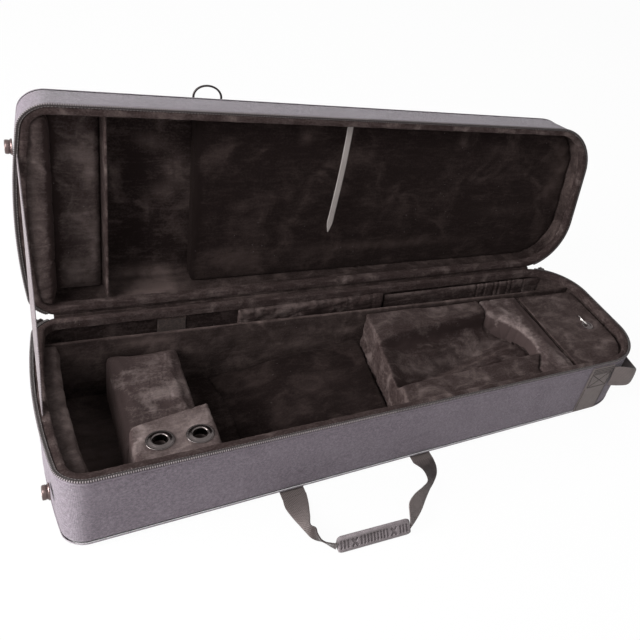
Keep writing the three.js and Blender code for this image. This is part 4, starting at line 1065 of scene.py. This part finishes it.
def bellCushionSkin(p, n):
    # the bell's bed sinks away from the ledges that stand round it
    if n.z > 0.12 and 1.2 < 112 - p.z < 60:
        sunk = 112 - p.z
        pulls = fold(p, (120, 24, 60), 17, 0.22) * 2.4 + fold(p, (40, 70, 60), 19, 0.14) * 1.2
        nearArc = 0.15 + 0.85 * faceShare(262 - p.x, 0, 110)  # the bed comes up towards the bow
        deep = (5 + 0.56 * sunk * nearArc) * faceShare(sunk, 0.8, 3.5) * faceShare(p.x + 25, 0, 30)
        return Vector((0, 0, -deep - pulls + ripple(p, 26, 3) * 1.4))
    left = faceShare(-n.x, 0.4, 0.9) * faceShare(-p.x, 12, 20)
    dents = ripple(p, (30, 20, 16), 7) * 3.0 + ripple(p, (18, 9, 9), 9) * 1.3
    dents -= fold(p, (20, 14, 22), 4, 0.2) * 2.4
    top = faceShare(n.z, 0.5, 0.9)
    return n * (left * (dents - 0.6) + top * ripple(p, 40, 5) * 0.8 - 0.1)


def bowCushionShape(p, n):
    edge = abs(math.hypot(p.x - 186, p.y + 38) - 100)
    pulls = fold(p, (14, 40, 60), 3, 0.25) * math.exp(-edge / 12) * 1.4
    return ripple(p, 32, 12) * 1.2 - pulls - fold(p, 50, 20, 0.12) * 0.9


def coverShape(p, n):
    return ripple(p, 60, 3) * 0.35 - 0.15


def slideLeftShape(p, n):
    knots = fold(p, (22, 60, 26), 5, 0.3) * 1.6 + fold(p, (50, 30, 14), 9, 0.2) * 1.2
    curls = max(0.0, ripple(p, (13, 16, 12), 27)) * 2.4 * faceShare(p.z, 106, 118)
    lumps = ripple(p, (26, 30, 16), 3) * 2.2 + curls
    return (lumps - knots) * faceShare(max(-n.y, n.z), 0.3, 0.9) * faceShare(149 - p.y, 3, 8)


def slideRightShape(p, n):
    front = faceShare(max(-n.y, n.z), 0.2, 0.8)
    lean = 0.08 * (p.z - 100)
    pleats = sum(math.exp(-((p.x - x + lean) / 2.2) ** 2) for x in (262, 282, 306, 318, 340, 352, 383))
    return (ripple(p, (60, 30, 18), 4) * 0.9 - pleats * 3.2 - fold(p, (80, 30, 16), 6, 0.2) * 0.8) * front


padShapes = {
    "left_end_pad": endCushionShape, "bridge_saddle": bellRestShape, "mouthpiece_block": mouthRestShape,
    "bell_well_bed": bellBedShape, "bell_cradle": bellCushionShape, "bow_block": bowCushionShape,
    "accessory_box": coverShape, "accessory_lid": coverShape,
    "slide_rest_left": slideLeftShape, "slide_rest_right": slideRightShape,
}


def makePad(node, pad, body, shape):
    piece = softCopy(pad["piece"], node, pad["voxel"], pad.get("passes", 6))
    if "cap" in pad:
        swell(piece, pad["cap"])
    if pad.get("fine", True):
        applyModifier(piece, "SUBSURF", levels=1, render_levels=1)
    press(piece, shape)
    if "lightShadeSpots" in pad:
        paintLightAndShade(piece, pad["lightShadeSpots"])
    pick(piece)
    bpy.ops.object.shade_smooth()
    cloth, slotName = tones[pad.get("tone", "lit")]
    finish(piece, body, cloth, [node])
    print("pad made:", piece.name, len(piece.data.vertices))


for node, pad in basePads.items():
    makePad(node, pad, "box_lid" if node == "accessory_lid" else "base", padShapes[node])

# the long divider in front of the slide: a board wrapped in plush
# the divider's spots are painted light: lit patches along its face and top
dividerSizes = {"thick": 6.0, "top": 118, "low": 9.5, "leftY": 115, "rightY": 91, "x0": -484, "x1": 471,
                "step": 4.0,
                "lightShadeSpots": (((-210, 100, 88), (16, 9, 18), 0.45), ((-140, 100, 58), (26, 9, 10), 0.5),
                            ((-96, 100, 56), (26, 9, 8), 0.45),
                            ((-40, 100, 78), (28, 9, 9), 0.35), ((-236, 100, 105), (14, 9, 10), 0.3),
                            ((-465, 112, 98), (16, 9, 18), 0.4),
                            ((-352, 106, 103), (46, 12, 13), 0.75), ((0, 100, 119), (500, 30, 3), 0.35),
                            ((200, 96, 117), (120, 12, 6), 0.2), ((-440, 112, 60), (30, 12, 30), 0.3),
                            ((-140, 102, 80), (260, 12, 60), 0.22))}


def dividerPiece():
    s = dividerSizes
    count = round((s["x1"] - s["x0"]) / s["step"])
    r, rows = s["thick"] / 2, 22
    wall = [s["low"] + (s["top"] - r - s["low"]) * k / rows for k in range(1, rows)]
    section = [(0, z) for z in (s["low"], *wall, s["top"] - r)]
    for k in range(1, 9):
        section.append((r - r * math.cos(math.pi * k / 8), s["top"] - r + r * math.sin(math.pi * k / 8)))
    section += [(s["thick"], z) for z in reversed(wall)] + [(s["thick"], s["low"])]
    rings = []
    for k in range(count + 1):
        x = s["x0"] + (s["x1"] - s["x0"]) * k / count
        y = s["leftY"] + (s["rightY"] - s["leftY"]) * (x + 490) / 980
        rings.append([Vector((x, y + dy, z)) * mm for dy, z in section])
    piece = loft("slide_wall", rings, caps=True, degrees=70)

    def shape(p, n):
        side = faceShare(abs(n.y), 0.4, 0.9)
        folds = fold(p, (90, 90, 30), 6, 0.16) * 0.9 + fold(p, (30, 60, 60), 16, 0.14) * 0.6
        return side * (ripple(p, (50, 50, 26), 3) * 1.0 - folds) - 0.1 + ripple(p, (24, 24, 24), 8) * 0.25

    press(piece, shape)
    paintLightAndShade(piece, s["lightShadeSpots"])
    return finish(piece, "base", plush, ["slide_divider"])


dividerPiece()
print("slide wall made")

# plush pads of the lid
# the lid pads' spots are painted light and shade: lit patches, and dark strips in the creases beside the end
# pad, well pad and panel
lidPads = {
    "lid_end_pad": {"piece": "lid_end_cushion", "voxel": 3.0, "passes": 3, "fill": 0.8, "cap": (3.5, 5.0, 1.5),
                    "lightShadeSpots": (((-461, 214, 290), (6, 60, 200), -0.8),
                                ((-480, 180, 300), (14, 60, 200), 0.3))},
    "lid_well_pad": {"piece": "lid_well_cushion", "voxel": 2.8, "passes": 2, "fill": 0.8,
                     "cap": (0.5, 2.0, 0.5),
                     "lightShadeSpots": (((-411, 230, 333), (12, 20, 26), 0.6), ((-430, 230, 360), (22, 20, 26), 0.35),
                                 ((-406, 218, 220), (10, 20, 36), 0.4),
                                 ((-428, 216, 170), (24, 20, 30), 0.6), ((-420, 222, 250), (24, 20, 40), 0.3),
                                 ((-460, 224, 290), (8, 30, 200), -0.8))},
    "lid_partition": {"piece": "lid_board", "voxel": 1.7, "passes": 2, "fine": False, "fill": 0.95},
    "lid_panel": {"piece": "lid_cushion", "voxel": 4.4, "passes": 6, "fine": False, "fill": 0.9, "tone": "deep",
                  "lightShadeSpots": (((-107, 226, 400), 12, 0.3), ((285, 225, 386), (30, 20, 12), 0.22),
                              ((447, 223, 330), (22, 20, 60), 0.3),
                              ((60, 212, 190), (200, 20, 10), 0.25), ((-190, 209, 176), (60, 20, 10), 0.2),
                              ((91, 214, 262), 18, 0.12),
                              ((330, 214, 250), (60, 20, 14), 0.14), ((-276, 235, 290), (8, 60, 200), -0.7))},
}


def lidPadShape(node):
    def shape(point, n):
        p = shutTurn @ (point * mm) / mm
        down = -(shutNormal @ n).z  # 1 on the face that looks into the case
        face = faceShare(down, 0.3, 0.9)
        folds = fold(p, (60, 90, 40), 5, 0.13) * 0.9 + fold(p, (150, 40, 40), 13, 0.1) * 0.8
        lumps = ripple(p, (46, 46, 30), 2) * 1.2
        if node == "lid_partition":
            return ripple(p, 24, 3) * 0.3 - 0.1
        if node == "lid_end_pad":  # it runs on from the rim roll
            skin = ripple(p, (26, 36, 26), 3) * 1.1 - fold(p, (40, 20, 16), 5, 0.2) * 1.2 - 0.2
            return n * skin + Vector((-4.5 * faceShare(-p.x, 464, 474), 0, 0))
        return face * (lumps - folds) + (1 - face) * (ripple(p, 24, 6) * 0.5 - 0.2)
    return shape


for node, pad in lidPads.items():
    makePad(node, pad, "lid", lidPadShape(node))

hookPiece = softCopy("hook_strip", "hook_patch", 0.8, 2)
finish(hookPiece, "base", hookCloth, ["hook_patch"])


# metal and moulded parts
def tube(name, points, radius, sides=12, closed=False):
    path = [Vector(p) for p in points]
    count = len(path)
    rings, across = [], None
    for k, point in enumerate(path):
        before = path[k - 1] if closed or k else point
        after = path[(k + 1) % count] if closed or k < count - 1 else point
        along = (after - before).normalized()
        side = across - along * across.dot(along) if across else along.orthogonal()
        across = side.normalized()
        over = along.cross(across)
        rings.append([(point + (across * math.cos(a) + over * math.sin(a)) * radius) * mm
                      for a in (2 * math.pi * i / sides for i in range(sides))])
    return loft(name, rings, closedSection=closed, caps=not closed, degrees=60)


grommetSizes = {"centres": ((-376, -107), (-328, -110)), "seat": 119.3, "flange": 17.4, "hole": 8.7,
                "barrel": 9.7, "deep": 9, "rise": 2.8}


def grommetPiece(word, centre):
    s = grommetSizes
    # a rolled rim, a dished flange that climbs inwards, and a round lip into the barrel
    profile = [(s["hole"], -s["deep"]), (s["barrel"], -s["deep"]), (s["barrel"], 0), (s["flange"] - 0.5, 0)]
    profile += [(s["flange"], 0.35), (s["flange"] - 0.15, 0.8), (s["flange"] - 0.7, 1.05),
                (s["flange"] - 1.4, 0.9),
                (s["flange"] - 2.3, 0.85), (14, 1.15), (13, 1.6), (12.2, 2.1), (11.4, 2.55), (10.6, s["rise"]),
                (9.9, s["rise"] - 0.1),
                (9.2, 2.2), (s["hole"], 1.2), (s["hole"], -1), (s["hole"], -4), (s["hole"], -s["deep"])]
    piece = lathe("grommet_ring_" + word, profile, (*centre, s["seat"]), steps=72, degrees=50)
    return finish(piece, "base", gunmetal, ["grommet_" + word])


for word, centre in zip(("left", "right"), grommetSizes["centres"]):
    grommetPiece(word, centre)

eyeletSizes = {"centre": (435, -31, 114.6), "outer": 12.8, "height": 1.6, "lug": (-5, 3), "wire": 1.3,
               "ring": 13, "lift": 38}


def eyeletPieces():
    s = eyeletSizes
    r = s["outer"]
    profile = [(0, 0), (r, 0), (r, 0.35), (r - 0.35, 0.75), (r - 1.6, 1.15), (r - 3.0, 0.7), (r - 4.2, 0.75),
               (r - 5.4, 1.5), (r - 7.5, 2.1), (r - 10, 2.4), (0, 2.5)]
    plate = lathe("ring_plate", profile, s["centre"], steps=64, degrees=35)
    staple = []
    lx, ly = s["centre"][0] + s["lug"][0], s["centre"][1] + s["lug"][1]
    z = s["centre"][2] + s["height"] + s["wire"] * 2
    for k in range(13):
        turn = math.pi * k / 12
        staple.append((lx + 2.6 * math.cos(turn), ly, z + 2.6 * math.sin(turn)))
    staple = [(lx + 2.6, ly, s["centre"][2] + 1)] + staple + [(lx - 2.6, ly, s["centre"][2] + 1)]
    loop = tube("ring_staple", staple, 0.9, 10)
    for piece, metal in ((plate, gunmetal), (loop, nickel)):
        finish(piece, "box_lid", metal, ["pull_eyelet"])
    tilt = Matrix.Rotation(math.radians(s["lift"]), 3, "Y")
    points = []
    for k in range(64):
        turn = 2 * math.pi * k / 64
        spot = tilt @ Vector((s["ring"] * math.cos(turn) - s["ring"], s["ring"] * math.sin(turn), 0))
        points.append(Vector((lx, ly, z)) + spot)
    ring = tube("finger_ring", points, s["wire"] * 1.25, 14, closed=True)
    finish(ring, "pull_ring", nickel, ["pull_ring"])


eyeletPieces()


def footPiece(node, body):
    low, high = (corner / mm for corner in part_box(node))
    centre = (low + high) / 2
    wall = Vector((high.x, centre.y, centre.z))
    profile = [(0, 0), (11, 0), (11, 1.2), (10.4, 2.0), (9.6, 2.0), (9.6, 3.0), (9.1, 3.3), (9.1, 3.9),
               (9.6, 4.2),
               (9.6, 7.0), (9.2, 7.9), (8.3, 8.5), (6.5, 8.5), (6.2, 8.1), (3.2, 7.9), (2.9, 7.1), (0, 7.0)]
    piece = lathe(node + "_turned", profile, wall, axis=(-1, 0, 0), steps=56, degrees=30)
    return finish(piece, body, footMetal, [node])


footPiece("base_foot", "base")
footPiece("lid_foot", "lid")

dRingSizes = {"x": -250, "y": 276.29, "z": 425.97, "width": 40, "legs": 12, "wire": 1.6, "tab": 30}


def dRingPieces():
    s = dRingSizes
    r, w = s["width"] / 2, s["wire"]
    flat = [(r * math.cos(math.pi * k / 24), -s["legs"] - r * 0.9 * math.sin(math.pi * k / 24))
            for k in range(25)]
    flat += [(-r, -8), (-r, -4), (-r + 1.0, -1.2), (-r + 3.6, 0), (-8, 0), (0, 0), (8, 0), (r - 3.6, 0),
             (r - 1.0, -1.2), (r, -4), (r, -8)]
    bar = shutTurn @ (Vector((s["x"], s["y"], s["z"])) * mm) / mm
    points = [onLid(bar + Vector((x, y, 0))) for x, y in flat]
    ring = tube("shoulder_ring", points, w, 12, closed=True)
    finish(ring, "d_ring", blackWire, ["d_ring"])
    # webbing folded round the bar and sewn down
    half = s["tab"] / 2
    side = [(30, -2.4), (14, -2.4), (4, -2.7), (0, -2.9), (-2.0, -2.1), (-2.9, 0), (-2.0, 2.1), (0, 2.9),
            (4, 2.4), (12, 0.6), (30, -0.6)]
    low, high = [], []
    for dy, dz in side:
        for edge, x in ((low, -half), (high, half)):
            edge.append(onLid(bar + Vector((x, dy, dz))))
    tab = strip("ring_tab", low, high, 1.5, steps=80)
    finish(tab, "lid", webbing, ["d_ring_tab"])


dRingPieces()
print("metal parts made")

# straps
handleTables = {
    "left": (((-221, -163.3, 2.2), (-186, -163.3, 2.2)), ((-222, -178, 2.2), (-189, -181, 4)),
             ((-217, -202, 2.2), (-196, -207, 9)), ((-209, -226, 2.2), (-203, -228, 16)),
             ((-204, -240, 2.2), (-199, -236, 18)), ((-199, -246, 2.3), (-200, -247, 18.5)),
             ((-191, -252, 2.4), (-197, -260, 16.5)), ((-185, -262, 2.8), (-188, -267, 17)),
             ((-180, -269.5, 3), (-180, -270.5, 17))),
    "right": (((30, -163.3, 2.2), (-6, -163.3, 2.2)), ((27, -182, 2.2), (1, -180, 4)),
              ((20, -197, 2.2), (-1, -198, 9)), ((8, -210, 2.2), (-8, -214, 15)),
              ((-6, -222, 2.2), (-24, -226, 21)), ((-20, -236, 2.2), (-44, -236, 24)),
              ((-36, -253, 2.2), (-58, -247, 23)), ((-54, -268, 2.4), (-64, -262, 20)),
              ((-68.2, -278, 3), (-68.2, -276, 17))),
}
# painted shade on the strap sections that turn away from the light, painted light on those that face it
handleLightShade = {
    "left": (((-205, -200, 6), (40, 36, 14), 0.1), ((-195, -253, 10), (20, 26, 20), -1.5)),
    "right": (((12, -194, 6), (40, 26, 20), -1.3), ((-50, -248, 12), (26, 20, 22), 0.6)),
}
for word, table in handleTables.items():
    strap = strip("carry_strap_" + word, [pair[0] for pair in table], [pair[1] for pair in table], 2.3,
                  steps=120, arch=0.5)
    paintLightAndShade(strap, handleLightShade[word])
    finish(strap, "carry_handle", webbing, ["handle_strap_" + word])
for word, (x0, x1) in (("left", (-221, -186)), ("right", (-6, 30))):
    tab = strip("strap_anchor_" + word, [(x0, -162.5, 1.5), (x0, -156, 1.5), (x0, -148, 1.5)],
                [(x1, -162.5, 1.5), (x1, -156, 1.5), (x1, -148, 1.5)], 2.0, steps=16)
    finish(tab, "base", webbing, ["handle_tab_" + word])

endBandSizes = {"x0": 344, "x1": 400, "z0": 11.2, "z1": 127, "thick": 2.0}


def frontWall(z, out):
    return -160 + 7 * (134 - z) / 134 - out


def endHandle():
    b = endBandSizes
    heights = [b["z0"], 40, 75, 112, b["z1"]]
    first = [(b["x0"], frontWall(z, 1.25), z) for z in heights]
    second = [(b["x1"], frontWall(z, 1.25), z) for z in heights]
    band = strip("end_band", first, second, b["thick"], steps=60)
    paintLightAndShade(band, (((372, -160, 60), (60, 20, 80), 0.2),))
    finish(band, "base", webbing, ["end_handle_band"])
    plan = ((400.5, -163.2), (420, -170), (441, -176), (456, -171), (469, -154), (480, -128), (488, -100),
            (491.5, -75), (491.5, -45))
    low = (75, 75, 77, 76, 68, 60, 54, 52, 52)
    high = (122, 122, 119, 111, 102, 95, 91, 90, 90)
    loop = strip("end_loop", [(*p, z) for p, z in zip(plan, low)], [(*p, z) for p, z in zip(plan, high)], 2.3,
                 steps=110, arch=-1.2)
    finish(loop, "base", webbing, ["end_handle_loop"])


endHandle()

lidStrapSizes = {"x": -45, "drift": -15, "y": -149.2, "deep": 17.5, "length": 203, "width": 9.6}


def lidStrap():
    s = lidStrapSizes
    lean = math.atan2(s["drift"], s["length"])
    first, second = [], []
    for k in range(13):
        t = s["length"] * k / 12
        left = s["length"] - t
        half = s["width"] / 2
        if left <= s["width"] / 2:  # rounded end
            half *= max(0.16, math.sin(math.acos(1 - left / half)))
        sway = 1.6 * math.sin(math.pi * 1.3 * t / s["length"])
        for edge, side in ((first, -half), (second, half)):
            x = side * math.cos(lean) + t * math.sin(lean) + sway
            y = t * math.cos(lean) - side * math.sin(lean)
            edge.append(onLid(Vector((s["x"] + x, s["y"] + y, 134 + s["deep"]))))
    strap = strip("lid_tape", first, second, 1.9, steps=120)
    return finish(strap, "lid", paleWebbing, ["lid_strap"])


lidStrap()


# the strap that stops the lid folds in on itself as the lid shuts
staySizes = {"x": -496, "half": 12.3, "stations": 8, "sag": 1.1, "twist": 2.2, "thick": 1.5}


def stayStrap():
    s = staySizes
    half, x = s["half"], s["x"]
    base = [Vector((x, -28 - half, 133.9)), Vector((x, -28 + half, 133.9))]
    lid = [onLid(Vector((x, -80 + side * half, 134.1))) for side in (-1, 1)]
    first, second = [], []
    for k in range(s["stations"] + 1):
        t = k / s["stations"]
        sag = s["sag"] * math.sin(math.pi * t)
        turned = s["twist"] * math.sin(math.pi * t) * (1.3 - t)  # a slight twist between its ends
        first.append(base[0].lerp(lid[0], t) + Vector((sag + turned, 0, 0)))
        second.append(base[1].lerp(lid[1], t) + Vector((sag - turned, 0, 0)))
    strap = strip("stay_webbing", first, second, s["thick"], steps=140)
    strap.data.materials.append(stayWebbing)
    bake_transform(strap)
    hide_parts("stay_strap")


stayStrap()


# the cloth over the hinge, in millimetres; its length is its flat length too
flapSizes = {"x0": -466, "length": 868, "out": 0.9, "thick": 1.1, "steps": 36, "stations": 160}


def hingeFlap():
    # down the base's back wall, round the fold and back along the lid's
    f = flapSizes
    out = f["out"]
    path = [(160 + out - 7 * 22 / 134, 112), (160 + out - 7 * 12 / 134, 122), (160 + out + 0.1, 127.5),
            (160.9, 130.2),
            (162.2, 132.0), (165.0, 132.8)]
    lidSide = []
    for reach in (9, 14, 22):
        y, z = out - 5 * reach / 86, reach
        c, s = math.cos(math.radians(-95)), math.sin(math.radians(-95))
        lidSide.append((160 + y * c - z * s, 134 + y * s + z * c))
    curve = smoothLine([(y, z, 0) for y, z in path + lidSide], f["steps"])
    rings = []
    for side in (-0.5, 0.5):
        line = []
        for k, point in enumerate(curve):
            along = curve[min(k + 1, len(curve) - 1)] - curve[max(k - 1, 0)]
            normal = Vector((-along.y, along.x, 0)).normalized()
            line.append(point + normal * side * f["thick"])
        rings.append(line)
    section = rings[0] + rings[1][::-1]
    lines = []
    for k in range(f["stations"] + 1):
        x = f["x0"] + f["length"] * k / f["stations"]
        lines.append([Vector((x, p.x + 0.25 * ripple(Vector((x, p.x, p.y)), 30, 4),
                              p.y)) * mm for p in section])
    flap = loft("hinge_flap", lines, caps=True, degrees=60)
    flap.data.materials.append(nylon)
    flap.data.materials.append(plush)
    for face in flap.data.polygons:
        face.material_index = int(face.normal.z - face.normal.y > 0.2)
    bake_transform(flap)
    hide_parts("hinge_fabric")


hingeFlap()
print("straps made")

# the moulded grip
gripSizes = {
    "x0": -178, "x1": -70, "back": -261, "skew": -7, "middle": (9, 8.5), "floor": 0.5,
    "section": ((0, 1.5), (1.5, 0), (15, 0), (17, 2), (17.2, 5.5), (7, 18), (5, 19.5), (1.5, 19.5), (0, 18)),
    "slots": (0.035, 0.082, 0.129, 0.31, 0.355, 0.4, 0.445, 0.49, 0.535, 0.58, 0.625, 0.67, 0.855, 0.9, 0.947),
    "crosses": (0.22, 0.762), "slotHalf": 1.25, "slotDepth": 2.6, "step": 0.5,
}


def gripPiece():
    g = gripSizes
    corners = [Vector((d, z, 0)) for d, z in g["section"]]
    count = len(corners)
    outlineNow = []
    for k, corner in enumerate(corners):  # rounded section, denser on the sloping face
        before, after = corners[k - 1], corners[(k + 1) % count]
        r = min(1.1, (corner - before).length / 2.2, (after - corner).length / 2.2)
        a, b = corner + (before - corner).normalized() * r, corner + (after - corner).normalized() * r
        outlineNow += [a.lerp(corner, t).lerp(corner.lerp(b, t), t) for t in (0, 0.5, 1)]
        steps = max(1, round((after - corner).length / (0.8 if k == 4 else 1.6)))
        start, end = b, after + (corner - after).normalized() * r
        outlineNow += [start.lerp(end, i / steps) for i in range(1, steps)]
    low, high = corners[4], corners[5]
    slopeLength = (high - low).length
    up = (high - low).normalized()
    out = Vector((up.y, -up.x, 0))
    length = g["x1"] - g["x0"]
    stations = round(length / g["step"])
    rings = []
    for k in range(stations + 1):
        x = g["x0"] + length * k / stations
        y0 = g["back"] + g["skew"] * (x - g["x0"]) / length
        end = min(x - g["x0"], g["x1"] - x)
        scale = 1 - 0.17 * (1 - min(1, end / 6)) ** 2
        ring = []
        for p in outlineNow:
            rise = (p - low).dot(up)
            onSlope = abs((p - low).dot(out)) < 0.5 and 0 < rise < slopeLength
            deep = 0.0
            if onSlope:
                ends = faceShare(min(rise - 2.2, slopeLength - 1.6 - rise), 0, 1.2)
                for share in g["slots"]:
                    deep = max(deep, faceShare(g["slotHalf"] + 0.35 - abs(x - g["x0"] - length * share), 0,
                                               0.7) * ends)
                for share in g["crosses"]:
                    dx, dz = x - g["x0"] - length * share, rise - slopeLength / 2
                    for lean in (-0.62, 0.62):
                        off = abs(dx * math.cos(lean) + dz * math.sin(lean)) - 0.3
                        reach = abs(dz * math.cos(lean) - dx * math.sin(lean))
                        deep = max(deep, faceShare(1.35 - off, 0, 0.6) * faceShare(7.2 - reach, 0, 1.0))
            d, z = (p - out * deep * g["slotDepth"]).xy
            d, z = g["middle"][0] + (d - g["middle"][0]) * scale, g["middle"][1] + (z - g["middle"][1]) * scale
            ring.append(Vector((x, y0 - d, g["floor"] + z)) * mm)
        rings.append(ring)
    piece = loft("carry_grip", rings, caps=True, degrees=50)
    # painted highlight along the grip's top edge, painted shade in a line beneath it
    paintLightAndShade(piece, (((-124, -266, 20), (70, 6, 2.5), 0.6), ((-124, -271, 16.5), (60, 3, 3), -0.4)))
    return finish(piece, "carry_handle", rubber, ["handle_grip"])


gripPiece()
print("grip made")


# sewing
def stitches(name, body, runs, material=None, length=2.6, wide=0.42):
    # runs: lists of (middle, direction, out) in millimetres
    pickNone()
    bpy.ops.mesh.primitive_uv_sphere_add(segments=6, ring_count=4, radius=1)
    seed = bpy.context.object
    seed.scale = (length / 2 * mm, wide * mm, wide * 0.7 * mm)
    pick(seed)
    bpy.ops.object.transform_apply(location=False, rotation=False, scale=True)
    template = seed.data
    net = bmesh.new()
    for middle, direction, out in runs:
        along = direction.normalized()
        up = (out - along * out.dot(along)).normalized()
        side = up.cross(along)
        turn = Matrix((along, side, up)).transposed().to_4x4()
        part = template.copy()
        part.transform(Matrix.Translation(middle * mm) @ turn)
        net.from_mesh(part)
        bpy.data.meshes.remove(part)
    mesh = bpy.data.meshes.new(name)
    net.to_mesh(mesh)
    net.free()
    piece = bpy.data.objects.new(name, mesh)
    scene.collection.objects.link(piece)
    bpy.data.objects.remove(seed)
    smoothShade(piece, 70)
    return finish(piece, body, material or threadYarn)


def stitchLine(a, b, out, spacing=3.4):
    a, b, out = Vector(a), Vector(b), Vector(out)
    count = max(1, round((b - a).length / spacing))
    return [(a.lerp(b, (k + 0.5) / count), b - a, out) for k in range(count)]


def bandStitches():
    lift, out = 2.6, (0, -1, 0.052)
    b = endBandSizes

    def at(x, z):
        return (x, frontWall(z, lift), z)
    x0, x1 = b["x0"] + 5, b["x1"] - 4
    runs = []
    corners = [at(x0, 76), at(x1, 76), at(x1, 110), at(x0, 110)]
    for p, q in zip(corners, corners[1:] + corners[:1]):
        runs += stitchLine(p, q, out)
    runs += stitchLine(corners[0], corners[2], out) + stitchLine(corners[1], corners[3], out)
    for z in (113.5, 118, 122.5):
        runs += stitchLine(at(x0 - 2, z), at(x1 + 1, z), out)
    for x in (b["x0"] + 2.2, b["x1"] - 2.2):
        runs += stitchLine(at(x, 14), at(x, 72), out, 3.6)
    # the dark thread stands in as painted shade of the sunken stitches
    return stitches("band_stitches", "base", runs, seamYarnShaded, length=3.0, wide=0.8)


bandStitches()


def zipStitches(half):
    z = zipSizes
    order = zipOrder(z["pitch"])
    up = Vector((0, 0, 1 if half == "base" else -1))
    out = openTurn.to_3x3() @ up if half == "lid" else up
    ring = halfRing(half, z["sewn"], z["tapeTop"] - 0.05, pitch=z["pitch"])
    line = [ring[k] / mm for k in order]
    runs = [((p + q) / 2, q - p, out) for p, q in zip(line, line[1:])]
    return stitches(half + "_zip_stitches", half, runs, length=2.8, wide=0.3)


for half in halves:
    zipStitches(half)
print("sewing made")


# nodes that stay as they are, in their own finish
for node in ("zip_slider_left", "zip_slider_right", "zip_pull_left", "zip_pull_right"):
    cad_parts[node].data.materials.clear()
    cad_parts[node].data.materials.append(blackWire)
